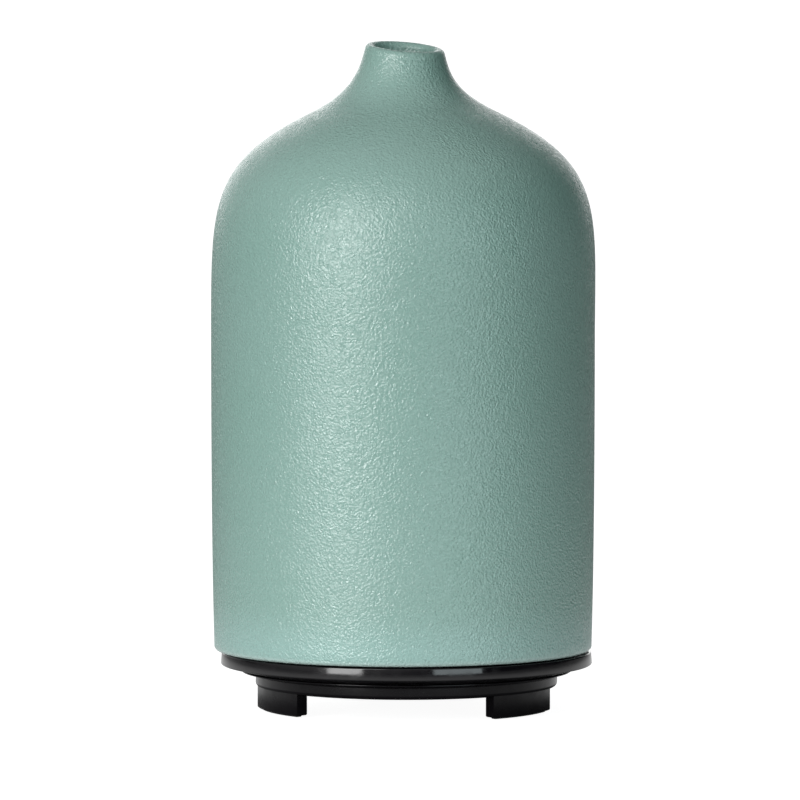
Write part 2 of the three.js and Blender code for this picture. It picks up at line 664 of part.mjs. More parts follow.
function addTransducer() {
  const discZ = TANK_UNDERSIDE_Z - 1.3;
  const halfDisc = 0.35;
  const halfGroove = halfDisc + GAP;
  const sealInnerR = 5.6;
  const sealOuterR = 10;
  const gasket = [
    new THREE.Vector2(sealInnerR, discZ - 1.7),
    new THREE.Vector2(sealOuterR, discZ - 1.7),
    new THREE.Vector2(sealOuterR, discZ + 1.6),
    new THREE.Vector2(sealInnerR, discZ + 1.6),
    new THREE.Vector2(sealInnerR, discZ + halfGroove),
    new THREE.Vector2(TRANSDUCER_R + GAP, discZ + halfGroove),
    new THREE.Vector2(TRANSDUCER_R + GAP, discZ - halfGroove),
    new THREE.Vector2(sealInnerR, discZ - halfGroove),
  ];
  const disc = postZ(TRANSDUCER_R, 0, 0, discZ - halfDisc, discZ + halfDisc, SMALL_SEGMENTS);
  add('transducer_disc', disc, discMetal);
  add('transducer_gasket', revolve(gasket, SMALL_SEGMENTS), paleRubber);
  const holes = [];
  for (let i = 0; i < 3; i += 1) {
    const place = orbit(CLAMP_SCREW_ORBIT, (i + 0.5) * THIRD_TURN);
    holes.push(postZ(PILOT_R, place.x, place.y, 30, 40, 10));
    add(`transducer_screw_${i + 1}`,
      screw(place.x, place.y, 1.9, 33.8, 35, 0.8, 39.6), screwSteel);
  }
  const clampTopZ = TANK_UNDERSIDE_Z - 3 - GAP;
  const clamp = ring(5.2, CLAMP_R, clampTopZ - 1.4, clampTopZ, SMALL_SEGMENTS);
  add('transducer_clamp', carve(clamp, [], holes), connectorCream);
}

function addFan() {
  add('fan_frame', fanFrame(), fanBlack, 0, FAN_Y);
  add('fan_rotor', fanRotor(), fanBlack, 0, FAN_Y);
  const shaft = postZ(0.8, 0, 0, FAN_BOTTOM_Z + 0.8, FAN_TOP_Z - 1.2, 12);
  const bearing = ring(0.95, 1.6, FAN_BOTTOM_Z + 3.2, FAN_TOP_Z - 1.2, 14);
  const stator = ring(2.9, 5.8, FAN_BOTTOM_Z + 3.4, FAN_TOP_Z - 1.9, 20);
  add('fan_shaft', shaft, screwSteel, 0, FAN_Y);
  add('fan_bearing', bearing, brass, 0, FAN_Y);
  add('fan_stator', stator, copper, 0, FAN_Y);
  for (const side of [-1, 1]) {
    const x = side * FAN_SCREW_OFFSET;
    add(`fan_screw_${side < 0 ? 1 : 2}`, fanScrew(x, FAN_Y + x), screwSteel);
  }
}

function fanScrew(x, y) {
  const head = postZ(2.3, x, y, FAN_TOP_Z + GAP, FAN_TOP_Z + 1.7);
  const shank = postZ(SCREW_R, x, y, FLOOR_TOP_Z - 1.1, FAN_TOP_Z + 0.5, 10);
  return carve(head, [shank], []);
}

function addBoards() {
  add('main_pcb', mainBoard(), boardGreen);
  add('controller_chip', box(-6, 4, -17, -11, PART_BOTTOM_Z, PCB_TOP_Z + 2), componentBlack);
  add('boost_inductor', inductor(-14, -16), componentBlack);
  add('filter_inductor', inductor(-13, 7), componentBlack);
  const can = postZ(4, 0, 0, PART_BOTTOM_Z, PCB_TOP_Z + 9, 20);
  add('capacitor', can, aluminium, 5, 22);
  add('mosfet', box(12.4, 17.3, -5, 5, PART_BOTTOM_Z, PCB_TOP_Z + 4.6), componentBlack);
  add('heat_sink', heatSink(), aluminium);
  const fanSocket = box(-18, -11, -2.5, 2.5, PCB_BOTTOM_Z - 4, PCB_BOTTOM_Z - GAP);
  const transducerSocket = box(-3.5, 3.5, -24.5, -19.5, PART_BOTTOM_Z, PCB_TOP_Z + 4.5);
  add('fan_connector', fanSocket, connectorCream);
  add('transducer_connector', transducerSocket, connectorCream);
  for (const side of [-1, 1]) {
    const post = orbit(PCB_SCREW_ORBIT, (side * THIRD_TURN) / 2);
    const name = side < 0 ? 1 : 2;
    const headTopZ = PCB_BOTTOM_Z - GAP;
    add(`pcb_screw_${name}`,
      screw(post.x, post.y, 2.2, headTopZ - 1.4, headTopZ, SCREW_R, 32), screwSteel);
    const word = side < 0 ? 'left' : 'right';
    const window = postZ(WINDOW_R, 0, 0, TANK_UNDERSIDE_Z - 0.2, TANK_FLOOR_Z + 0.6, 20);
    add(`led_${word}`, led(), clearPlastic, side * LED_X, LED_Y);
    add(`led_window_${word}`, window, clearPlastic, side * LED_X, LED_Y);
  }
}

function addControls() {
  add('control_board', controlBoard(), boardGreen);
  add('board_header', box(-5, 5, 23, 25.4, 17, 23.7), componentBlack);
  add('dc_jack', dcJack(), componentBlack);
  add('dc_jack_pin', postY(1, 0, CONTROL_Z, 24.3, 34.3, 12), screwSteel);
  for (const [name, x] of [['mist', BUTTON_X], ['light', -BUTTON_X]]) {
    add(`${name}_switch`, tactSwitch(), componentBlack, x, 0, CONTROL_Z);
    add(`${name}_plunger`, postY(1.6, 0, 0, 28.8, 31.3, 16), connectorCream, x, 0, CONTROL_Z);
    add(`${name}_button`, button(), glossBlack, x, 0, CONTROL_Z);
  }
}

function addWires() {
  for (const side of [-1, 1]) {
    const name = side < 0 ? 1 : 2;
    const material = side < 0 ? wireRed : wireBlack;
    const transducerLead = [
      new THREE.Vector3(side * 2.4, 0, 37.9),
      new THREE.Vector3(side * 2.4, -1, 34),
      new THREE.Vector3(side * 2, -10, 32.2),
      new THREE.Vector3(side * 1.6, -19, 32.6),
      new THREE.Vector3(side * 1.6, -22, 30.6),
    ];
    add(`transducer_lead_${name}`, wire(transducerLead, 0.6, 12), material);
    const fanLead = [
      new THREE.Vector3(-14.5 + side * 0.8, -9, 19.2),
      new THREE.Vector3(-14.5 + side * 0.8, -6, 21.4),
      new THREE.Vector3(-14.5 + side * 0.8, -2.9, 22),
    ];
    add(`fan_lead_${name}`, wire(fanLead, 0.5, 8), material);
    const powerLead = [
      new THREE.Vector3(side * 2, 21.6, CONTROL_Z + 1),
      new THREE.Vector3(side * 2.4, 20.9, CONTROL_Z + 5),
      new THREE.Vector3(side * 4, 19, 17),
      new THREE.Vector3(side * 4, 18.6, PCB_BOTTOM_Z - 0.4),
    ];
    add(`power_lead_${name}`, wire(powerLead, 0.7, 10), material);
  }
}

function addHousingScrews() {
  for (let i = 0; i < 3; i += 1) {
    const boss = orbit(BOSS_ORBIT, i * THIRD_TURN);
    add(`housing_screw_${i + 1}`,
      screw(boss.x, boss.y, 2.3, SKIRT_BOTTOM_Z - 0.3, SKIRT_BOTTOM_Z + 0.9, SCREW_R, 20),
      screwSteel);
  }
}

addHousings();
addTransducer();
addFan();
addBoards();
addControls();
addWires();
addHousingScrews();

export default diffuser;
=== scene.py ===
"""An essential oil diffuser: a sage-glazed ceramic cover over a gloss-black base, which holds the
tank, the lid, the fan and the electronics."""

import json
import math

import bmesh
import bpy
from mathutils import Matrix, Vector


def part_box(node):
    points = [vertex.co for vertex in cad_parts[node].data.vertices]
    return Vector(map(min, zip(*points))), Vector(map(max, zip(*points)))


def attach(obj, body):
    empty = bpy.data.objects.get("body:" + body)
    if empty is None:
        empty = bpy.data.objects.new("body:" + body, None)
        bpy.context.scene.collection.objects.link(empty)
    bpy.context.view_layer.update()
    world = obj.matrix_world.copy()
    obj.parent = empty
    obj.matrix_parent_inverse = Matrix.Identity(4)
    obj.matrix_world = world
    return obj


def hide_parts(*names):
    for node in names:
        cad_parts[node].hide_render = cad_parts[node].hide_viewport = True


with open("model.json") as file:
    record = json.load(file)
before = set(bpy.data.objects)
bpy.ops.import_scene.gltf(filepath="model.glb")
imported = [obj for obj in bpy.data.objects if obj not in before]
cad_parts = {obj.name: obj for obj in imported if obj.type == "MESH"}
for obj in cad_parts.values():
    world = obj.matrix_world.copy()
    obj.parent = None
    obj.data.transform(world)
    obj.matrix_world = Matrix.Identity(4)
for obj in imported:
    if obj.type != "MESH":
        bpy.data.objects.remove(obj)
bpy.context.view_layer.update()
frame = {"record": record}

# Camera and stage. Azimuths are counted from the front, -Y, towards +X, in degrees.
VIEW_AZIMUTH = 5.6
CAMERA_DISTANCE = 3.0
CAMERA_HEIGHT = 0.309
AIM_HEIGHT = 0.0772
AIM_SHIFT = -0.0016
FRAME_WIDTH = 0.2
SENSOR_WIDTH = 36.0

# Ceramic cover
COVER_RADIUS = 0.04796
COVER_AXIS = (-0.00085, -0.00008)
COVER_WALL = 0.0042
COVER_FOOT_STEP = 0.0018
FOOT_ROUND = 0.0011
SHOULDER_HEIGHT = 0.092
SHOULDER_HANDLES = (0.034, 0.030)
NECK_RADIUS = 0.023
NECK_HEIGHT = 0.1493
NECK_ANGLE = math.radians(26)
NECK_HANDLE = 0.012
MOUTH_RADIUS = 0.0073
LIP_ROUND = 0.00135
LIP_HEIGHT = 0.16428
RIM_SLOPE = (-0.091, 0.079)
NECK_LEAN = (0.0005, 0.00005)

# Housings
SKIRT_RADIUS = 0.03775
SKIRT_BOTTOM = 0.0056
CONE_BOTTOM = 0.00845
SPLIT_HEIGHT = 0.0097
SPLIT_RADIUS = 0.0412
FLOOR_TOP = 0.0082
SHELL_INNER = 0.0366
FLANGE_BOTTOM = 0.0111
FLANGE_DRAFT = 0.0002
FLANGE_EDGE = 0.00035
FLANGE_TOP = 0.0143
LOCATING_RADIUS = 0.042
LOCATING_TOP = 0.018
TANK_OUTER = 0.039
TANK_INNER = 0.0362
TANK_RIM = 0.076
TANK_FLOOR = 0.0434
TANK_UNDERSIDE = 0.040
FOOT_OUTER = 0.0374
FOOT_INNER = 0.034
FOOT_HALF_ANGLE = 19.0
THIRD_TURN = 120.0
BOSS_ORBIT = 0.0315
BOARD_SCREW_ORBIT = 0.028
CLAMP_SCREW_ORBIT = 0.0126
PILOT_RADIUS = 0.0011
CONTROL_HEIGHT = 0.0056
BUTTON_X = 0.0094
FAN_Y = -0.003
FAN_SCREW = 0.012
GAP = 0.0003
SIDES = ((-1, "left"), (1, "right"))

ROUND_STEPS = 192
# Tools are turned by this much, in degrees, so that their seams miss those of what they cut.
SEAM_TURN = 1.3
SHARP_ANGLE = math.radians(32)

# How bright the camera sees the floor and the room: plain and pale.
BACKDROP = 0.95

# The materials by name, made before the pieces.
FINISHES = {}


# ---------------------------------------------------------------- mesh helpers


def stand_for(node, mesh, *finishes):
    """Shows a mesh in a CAD node's place, with the node's own body and finishes by name."""
    record = frame["record"]
    body = next(b for b, members in record["behaviour"]["bodies"].items() if node in members)
    mesh.name = node + "_finished"
    obj = bpy.data.objects.new(node + "_finished", mesh)
    bpy.context.scene.collection.objects.link(obj)
    mesh.materials.clear()
    for finish in finishes:
        mesh.materials.append(FINISHES[finish])
    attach(obj, body)
    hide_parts(node)


def smooth(mesh, angle=SHARP_ANGLE):
    for polygon in mesh.polygons:
        polygon.use_smooth = True
    mesh.set_sharp_from_angle(angle=angle)
    return mesh


def mesh_from(bm):
    bmesh.ops.recalc_face_normals(bm, faces=bm.faces)
    mesh = bpy.data.meshes.new("mesh")
    bm.to_mesh(mesh)
    bm.free()
    return smooth(mesh)


def arc(centre_r, centre_z, radius, start, end, steps=8):
    """Points of a round stretch of an outline, from one angle to another in degrees."""
    points = []
    for i in range(steps + 1):
        angle = math.radians(start + (end - start) * i / steps)
        points.append((centre_r + radius * math.cos(angle), centre_z + radius * math.sin(angle)))
    return points


def corner(radius, height, rounding, quarter, steps, hollow=False):
    """The rounded corner of an outline at (radius, height). Quarter 0 is the outer top corner, 1 the
    inner top, 2 the inner bottom and 3 the outer bottom. A hollow corner runs the other way."""
    across, up = ((-1, -1), (1, -1), (1, 1), (-1, 1))[quarter]
    start = 90 * quarter
    points = arc(radius + across * rounding, height + up * rounding, rounding, start, start + 90, steps)
    return points[::-1] if hollow else points


def bezier(p0, p1, p2, p3, steps):
    points = []
    for i in range(steps + 1):
        t = i / steps
        a, b, c, d = (1 - t) ** 3, 3 * (1 - t) ** 2 * t, 3 * (1 - t) * t * t, t**3
        points.append(tuple(a * w + b * x + c * y + d * z for w, x, y, z in zip(p0, p1, p2, p3)))
    return points


def turned(outline, steps=ROUND_STEPS, zones=()):
    """A solid of revolution about Z. Outline points are (radius, height), and an outline that doesn't
    start and end on the axis is closed. zones gives a material index to the stretch after each point."""
    bm = bmesh.new()
    closed = outline[0][0] > 0 or outline[-1][0] > 0
    rings = []
    for radius, height in outline:
        if radius < 1e-7:
            rings.append([bm.verts.new((0, 0, height))] * steps)
            continue
        turn = [2 * math.pi * i / steps for i in range(steps)]
        rings.append([bm.verts.new((radius * math.cos(a), radius * math.sin(a), height)) for a in turn])
    count = len(rings)
    for k in range(count if closed else count - 1):
        low, high = rings[k], rings[(k + 1) % count]
        index = zones[k] if k < len(zones) else 0
        for i in range(steps):
            j = (i + 1) % steps
            corners = list(dict.fromkeys((low[i], low[j], high[j], high[i])))
            if len(corners) > 2:
                bm.faces.new(corners).material_index = index
    return mesh_from(bm)


def inset(outline, depth):
    """An anticlockwise outline with every side moved inwards by depth."""
    points = [Vector(point) for point in outline]
    result = []
    for before, point, after in zip(points[-1:] + points, points, points[1:] + points[:1]):
        first = (point - before).normalized().orthogonal()
        second = (after - point).normalized().orthogonal()
        result.append(point + (first + second) * depth / (1 + first.dot(second)))
    return result


def extruded(outline, low, high, bevel=0.0, segments=3):
    """A prism along Z from an anticlockwise outline of (x, y) points, its end edges rounded by bevel."""
    levels = [(0.0, low), (0.0, high)]
    if bevel:
        turn = [math.pi / 2 * i / segments for i in range(segments + 1)]
        levels = [(bevel * (1 - math.sin(a)), low + bevel * (1 - math.cos(a))) for a in turn]
        levels += [(bevel * (1 - math.cos(a)), high - bevel * (1 - math.sin(a))) for a in turn]
    bm = bmesh.new()
    rings = [[bm.verts.new((x, y, z)) for x, y in inset(outline, depth)] for depth, z in levels]
    bm.faces.new(list(reversed(rings[0])))
    bm.faces.new(rings[-1])
    for below, above in zip(rings, rings[1:]):
        for i, start in enumerate(below):
            j = (i + 1) % len(below)
            bm.faces.new((start, below[j], above[j], above[i]))
    return mesh_from(bm)


def rounded_box(low, high, bevel, segments=3):
    bm = bmesh.new()
    bmesh.ops.create_cube(bm, size=1.0)
    size = [h - l for l, h in zip(low, high)]
    middle = [(h + l) / 2 for l, h in zip(low, high)]
    for vert in bm.verts:
        vert.co = Vector(m + s * c for m, s, c in zip(middle, size, vert.co))
    edges = list(bm.edges)
    bmesh.ops.bevel(bm, geom=edges, offset=bevel, segments=segments, profile=0.5, affect="EDGES")
    return mesh_from(bm)


def pin(x, y, low, high, half_x=0.0003, half_y=0.0003, bevel=0.0001, segments=1):
    """A small square bar between two heights, in its piece's second material."""
    bar = rounded_box((x - half_x, y - half_y, low), (x + half_x, y + half_y, high), bevel, segments)
    return finish_index(bar, 1)


def moved(mesh, x=0.0, y=0.0, z=0.0, turn=None):
    """The mesh turned by an (angle, axis) in degrees, then moved."""
    if turn:
        mesh.transform(Matrix.Rotation(math.radians(turn[0]), 4, turn[1]))
    mesh.transform(Matrix.Translation((x, y, z)))
    return mesh


def facing_rear(mesh, x=0.0):
    """Lays a mesh that was turned about Z along +Y, at the height of the rear controls."""
    return moved(moved(mesh, turn=(-90, "X")), x, 0, CONTROL_HEIGHT)


def drum(radius, low, high, x=0.0, y=0.0, edge=0.0, steps=32):
    """A round post along Z, its edges chamfered by edge."""
    outline = [(0, low), (radius - edge, low), (radius, low + edge), (radius, high - edge),
               (radius - edge, high), (0, high)]
    if not edge:
        outline = [(0, low), (radius, low), (radius, high), (0, high)]
    return moved(turned(outline, steps), x, y, turn=(SEAM_TURN, "Z"))


def tube(path, radius, sides=12):
    """A round wire along a path, with flat ends."""
    bm = bmesh.new()
    points = [Vector(point) for point in path]
    last = len(points) - 1
    normal = (points[1] - points[0]).orthogonal()
    rings = []
    for k, point in enumerate(points):
        along = (points[min(k + 1, last)] - points[max(k - 1, 0)]).normalized()
        normal = (normal - along * normal.dot(along)).normalized()
        across = along.cross(normal)
        turn = [2 * math.pi * i / sides for i in range(sides)]
        rings.append([bm.verts.new(point + radius * (math.cos(a) * normal + math.sin(a) * across))
                      for a in turn])
    for low, high in zip(rings, rings[1:]):
        for i in range(sides):
            j = (i + 1) % sides
            bm.faces.new((low[i], low[j], high[j], high[i]))
    bm.faces.new(rings[0])
    bm.faces.new(rings[-1])
    return mesh_from(bm)


def spline(points, steps=10):
    """A smooth path through points (Catmull-Rom)."""
    points = [Vector(point) for point in points]
    ends = [2 * points[0] - points[1], *points, 2 * points[-1] - points[-2]]
    path = []
    for a, b, c, d in zip(ends, ends[1:], ends[2:], ends[3:]):
        for i in range(steps):
            t = i / steps
            path.append(0.5 * (2 * b + (c - a) * t + (2 * a - 5 * b + 4 * c - d) * t * t
                               + (3 * b - a - 3 * c + d) * t**3))
    return path + [points[-1]]


def coil(radius, low, high, turns, x=0.0, y=0.0):
    """The path of a wire wound along Z."""
    count = turns * 24
    return [(x + radius * math.cos(2 * math.pi * i / 24), y + radius * math.sin(2 * math.pi * i / 24),
             low + (high - low) * i / count) for i in range(count + 1)]


def finish_index(mesh, index):
    """The mesh with every face on one of its piece's materials."""
    for polygon in mesh.polygons:
        polygon.material_index = index
    return mesh


def middle(node):
    low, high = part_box(node)
    return (low + high) / 2


def joined(meshes):
    """Several closed meshes as one mesh."""
    bm = bmesh.new()
    for mesh in meshes:
        bm.from_mesh(mesh)
        bpy.data.meshes.remove(mesh)
    return mesh_from(bm)


def carved(body, added=(), removed=()):
    """Joins meshes to a body mesh, then cuts others out of it, with exact booleans."""
    host = bpy.data.objects.new("host", body)
    bpy.context.scene.collection.objects.link(host)
    tools = []
    for operation, meshes in (("UNION", added), ("DIFFERENCE", removed)):
        if not meshes:
            continue
        tool = bpy.data.objects.new("tool", joined(meshes))
        bpy.context.scene.collection.objects.link(tool)
        tools.append(tool)
        modifier = host.modifiers.new(operation.lower(), "BOOLEAN")
        modifier.operation = operation
        modifier.solver = "EXACT"
        modifier.use_self = True
        modifier.object = tool
    depsgraph = bpy.context.evaluated_depsgraph_get()
    result = bpy.data.meshes.new_from_object(host.evaluated_get(depsgraph))
    for obj in [host, *tools]:
        old = obj.data
        bpy.data.objects.remove(obj)
        bpy.data.meshes.remove(old)
    return smooth(result)


def on_circle(radius, azimuth):
    """The point at an azimuth counted from the front, -Y, towards +X."""
    angle = math.radians(azimuth)
    return radius * math.sin(angle), -radius * math.cos(angle)


def ring_sector(inner, outer, azimuth, half_angle, steps=24):
    outside = [on_circle(outer, azimuth + half_angle * (2 * i / steps - 1)) for i in range(steps + 1)]
    inside = [on_circle(inner, azimuth - half_angle * (2 * i / steps - 1)) for i in range(steps + 1)]
    return outside + inside


def pill(half_width, half_length, steps=8):
    """A slot's outline along Y, with round ends."""
    points = []
    for side, start in ((1, 0), (-1, 180)):
        for i in range(steps + 1):
            angle = math.radians(start + 180 * i / steps)
            points.append((half_width * math.cos(angle),
                           side * (half_length - half_width) + half_width * math.sin(angle)))
    return points


# ---------------------------------------------------------------- material helpers


def add_node(tree, kind, inputs, output, **settings):
    """Adds a node with its inputs linked or set, and gives one of its outputs."""
    node = tree.nodes.new("ShaderNode" + kind)
    for name, value in settings.items():
        setattr(node, name, value)
    for socket, value in inputs.items():
        if isinstance(value, bpy.types.NodeSocket):
            tree.links.new(value, node.inputs[socket])
        else:
            node.inputs[socket].default_value = value
    return node.outputs[output]


def add_ramp(tree, value, low, high, to_low, to_high):
    """A value's stretch from low to high, as to_low to to_high."""
    inputs = {"Value": value, "From Min": low, "From Max": high, "To Min": to_low, "To Max": to_high}
    return add_node(tree, "MapRange", inputs, "Result", interpolation_type="SMOOTHSTEP")


class Shader:
    """A Principled material with short calls for the nodes that the finishes share."""

    def __init__(self, name, colour, roughness, **sockets):
        self.material = bpy.data.materials.new(name)
        self.material.use_nodes = True
        self.tree = self.material.node_tree
        self.principled = self.tree.nodes["Principled BSDF"]
        self.colour = (*colour, 1.0)
        self.set("Base Color", self.colour)
        self.set("Roughness", roughness)
        for socket, value in sockets.items():
            self.set(socket.replace("_", " "), value)
        self.place = self.node("TexCoord", {}, "Object")
        self.askew = self.node("Mapping", {"Rotation": (0.6, 0.4, 0.9), "Vector": self.place}, "Vector")

    def set(self, socket, value):
        self.principled.inputs[socket].default_value = value

    def link(self, output, target):
        self.tree.links.new(output, target)

    def node(self, kind, inputs, output, **settings):
        return add_node(self.tree, kind, inputs, output, **settings)

    def noise(self, size, detail=3.0, stretch=None):
        """Noise with features of about size metres, drawn out if stretch gives a scale for each axis."""
        place = self.askew
        if stretch:
            place = self.node("Mapping", {"Scale": stretch, "Vector": self.place}, "Vector")
        return self.node("TexNoise", {"Scale": 1.0 / size, "Detail": detail, "Vector": place}, "Fac")

    def cells(self, size):
        """Soft cells of about size metres."""
        inputs = {"Scale": 1.0 / size, "Vector": self.askew}
        return self.node("TexVoronoi", inputs, "Distance", feature="SMOOTH_F1")

    def ramp(self, value, low, high, to_low=0.0, to_high=1.0):
        return add_ramp(self.tree, value, low, high, to_low, to_high)

    def tint(self, factor, colour, under=None):
        """Mixes a colour over what lies under, by factor."""
        inputs = {"Factor": factor, 6: under or self.colour, 7: (*colour, 1.0)}
        return self.node("Mix", inputs, 2, data_type="RGBA")

    def add(self, first, second, share):
        return self.node("Math", {0: second, 1: share, 2: first}, 0, operation="MULTIPLY_ADD")

    def height(self, value, depth):
        """Bump of the given depth in metres."""
        return self.node("Bump", {"Distance": depth, "Height": value}, "Normal")

    def finish(self, colour=None, roughness=None, normal=None):
        for socket, output in (("Base Color", colour), ("Roughness", roughness), ("Normal", normal)):
            if output is not None:
                self.link(output, self.principled.inputs[socket])
        return self.material


# ---------------------------------------------------------------- materials


def sage_glaze():
    """Satin glaze over a pebbled body: small rounded grains, a little lighter on their tops. Towards its foot
    the glaze is painted lighter and bluer, as painted light from the floor, with a painted highlight along
    the foot's round edge.
    """
    shader = Shader("sage_glaze", (0.217, 0.374, 0.327), 0.27, Specular_IOR_Level=1.0)
    grain = shader.noise(0.00052, detail=1.0)
    pebbles = shader.cells(0.0007)
    broad = shader.noise(0.004, detail=3.0)
    relief = shader.add(grain, pebbles, 0.5)
    relief = shader.add(relief, broad, 0.25)
    clouds = shader.noise(0.035, detail=4.0)
    colour = shader.tint(shader.ramp(clouds, 0.35, 0.7, 0.0, 0.5), (0.235, 0.385, 0.345))
    colour = shader.tint(shader.ramp(grain, 0.5, 0.8, 0.0, 0.35), (0.28, 0.44, 0.39), colour)
    low = shader.node("SeparateXYZ", {"Vector": shader.place}, "Z")
    # Painted light from the floor: the glaze turns lighter and bluer from 30 mm down to the foot.
    colour = shader.tint(shader.ramp(low, 0.030, 0.0165, 0.0, 0.45), (0.32, 0.52, 0.49), colour)
    # Painted highlight: a pale line along the foot's round edge, 14.7 to 16.3 mm up.
    colour = shader.tint(shader.ramp(low, 0.0163, 0.0147, 0.0, 0.7), (0.45, 0.56, 0.53), colour)
    roughness = shader.ramp(shader.noise(0.0025), 0.3, 0.7, 0.23, 0.32)
    return shader.finish(colour, roughness, shader.height(relief, 0.00024))


def bisque():
    """The unglazed foot ring and inside of the cover."""
    shader = Shader("bisque", (0.62, 0.60, 0.55), 0.85)
    specks = shader.noise(0.0012, detail=4.0)
    colour = shader.tint(shader.ramp(specks, 0.55, 0.72, 0.0, 0.5), (0.47, 0.44, 0.39))
    return shader.finish(colour, None, shader.height(specks, 0.00008))


def black_moulding(name, specular, roughness):
    """Black plastic with a faint film of handling marks."""
    shader = Shader(name, (0.004, 0.0035, 0.0045), roughness, Specular_IOR_Level=specular)
    film = shader.noise(0.012, detail=5.0)
    colour = shader.tint(shader.ramp(film, 0.4, 0.8, 0.0, 0.5), (0.008, 0.007, 0.009))
    varied = shader.ramp(shader.noise(0.003, detail=6.0), 0.35, 0.75, roughness - 0.03, roughness + 0.07)
    return shader.finish(colour, varied, shader.height(shader.noise(0.004), 0.00001))


def frosted_white():
    shader = Shader("frosted_white", (0.80, 0.81, 0.80), 0.48, Subsurface_Weight=0.25,
                    Subsurface_Scale=0.002)
    colour = shader.tint(shader.ramp(shader.noise(0.02, 4.0), 0.4, 0.7, 0.0, 0.6),
                         (0.74, 0.76, 0.75))
    roughness = shader.ramp(shader.noise(0.002, 5.0), 0.3, 0.7, 0.42, 0.55)
    return shader.finish(colour, roughness, shader.height(shader.noise(0.0006, 4.0), 0.00001))


def rubber(name, colour, lighter):
    shader = Shader(name, colour, 0.8, Specular_IOR_Level=0.3)
    dust = shader.noise(0.0018, 5.0)
    mixed = shader.tint(shader.ramp(dust, 0.5, 0.8, 0.0, 0.6), lighter)
    return shader.finish(mixed, shader.ramp(dust, 0.3, 0.7, 0.7, 0.9),
                         shader.height(shader.noise(0.0005), 0.00002))


def moulded(name, colour, other, roughness=0.45, texture=0.00012):
    """Moulded plastic with a fine spark texture."""
    shader = Shader(name, colour, roughness)
    cloud = shader.noise(0.008, 4.0)
    mixed = shader.tint(shader.ramp(cloud, 0.4, 0.75, 0.0, 0.6), other)
    spark = shader.noise(0.0004, 3.0)
    varied = shader.ramp(cloud, 0.3, 0.7, roughness - 0.06, roughness + 0.08)
    return shader.finish(mixed, varied, shader.height(spark, texture * 0.1))


def metal(name, colour, other, roughness, brushing=None, grain=0.0006):
    """Bare metal with fine scratches, drawn out along one axis if brushing gives a stretch."""
    shader = Shader(name, colour, roughness, Metallic=1.0)
    scratches = shader.noise(grain, 5.0, stretch=brushing)
    mixed = shader.tint(shader.ramp(scratches, 0.45, 0.8, 0.0, 0.6), other)
    varied = shader.ramp(scratches, 0.3, 0.75, roughness - 0.07, roughness + 0.12)
    return shader.finish(mixed, varied, shader.height(scratches, 0.000008))


def solder_mask():
    """Green lacquer over copper tracks, which show through as a lighter raised pattern."""
    shader = Shader("solder_mask", (0.010, 0.085, 0.036), 0.35)
    lines = shader.node("TexBrick", {
        "Scale": 160.0, "Mortar Size": 0.035, "Color1": (1, 1, 1, 1), "Color2": (0.8, 0.8, 0.8, 1),
        "Mortar": (0, 0, 0, 1), "Vector": shader.place,
    }, "Fac")
    mixed = shader.tint(lines, (0.035, 0.19, 0.075))
    cloud = shader.noise(0.01, 4.0)
    varied = shader.ramp(cloud, 0.3, 0.7, 0.28, 0.42)
    return shader.finish(mixed, varied, shader.height(lines, 0.00003))


def clear_plastic():
    shader = Shader("clear_plastic", (0.86, 0.90, 0.91), 0.08, Transmission_Weight=0.85, IOR=1.5)
    haze = shader.noise(0.002, 4.0)
    colour = shader.tint(shader.ramp(haze, 0.5, 0.8, 0.0, 0.5), (0.78, 0.84, 0.86))
    return shader.finish(colour, shader.ramp(haze, 0.3, 0.8, 0.05, 0.2),
                         shader.height(haze, 0.00001))


def winding():
    """Enamelled copper wire, laid in turns one on another."""
    shader = Shader("winding", (0.55, 0.20, 0.07), 0.32, Metallic=1.0)
    cloud = shader.noise(0.0015, 4.0)
    mixed = shader.tint(shader.ramp(cloud, 0.4, 0.7, 0.0, 0.7), (0.38, 0.11, 0.03))
    return shader.finish(mixed, shader.ramp(cloud, 0.3, 0.7, 0.25, 0.4),
                         shader.height(cloud, 0.00001))


def all_materials():
    return {
        "glaze": sage_glaze(),
        "bisque": bisque(),
        "black": black_moulding("gloss_black", 0.6, 0.11),
        "under_black": black_moulding("satin_black", 0.18, 0.22),
        "white": frosted_white(),
        "foot_rubber": rubber("foot_rubber", (0.018, 0.018, 0.019), (0.045, 0.045, 0.046)),
        "seal_rubber": rubber("seal_rubber", (0.42, 0.42, 0.39), (0.52, 0.52, 0.49)),
        "fan_black": moulded("fan_black", (0.012, 0.012, 0.013), (0.022, 0.022, 0.024), 0.42),
        "component": moulded("component", (0.014, 0.014, 0.015), (0.024, 0.024, 0.026), 0.5),
        "cream": moulded("cream", (0.70, 0.64, 0.48), (0.62, 0.56, 0.40), 0.4),
        "clear": clear_plastic(),
        "mask": solder_mask(),
        "steel": metal("screw_steel", (0.56, 0.56, 0.57), (0.40, 0.40, 0.41), 0.3),
        "disc": metal("disc_metal", (0.66, 0.67, 0.68), (0.50, 0.51, 0.53), 0.2),
        "tin": metal("tin", (0.60, 0.60, 0.58), (0.46, 0.46, 0.45), 0.38),
        "brass": metal("bearing_brass", (0.60, 0.42, 0.17), (0.46, 0.30, 0.11), 0.28),
        "aluminium": metal("plain_aluminium", (0.62, 0.63, 0.64), (0.50, 0.51, 0.52), 0.34,
                           brushing=(1, 1, 12)),
        "winding": winding(),
        "sleeve": moulded("sleeve", (0.010, 0.014, 0.035), (0.016, 0.022, 0.05), 0.3),
        "wire_red": moulded("wire_red", (0.36, 0.012, 0.010), (0.26, 0.008, 0.008), 0.4),
        "wire_black": moulded("wire_black", (0.012, 0.012, 0.012), (0.02, 0.02, 0.02), 0.4),
    }


# ---------------------------------------------------------------- ceramic cover


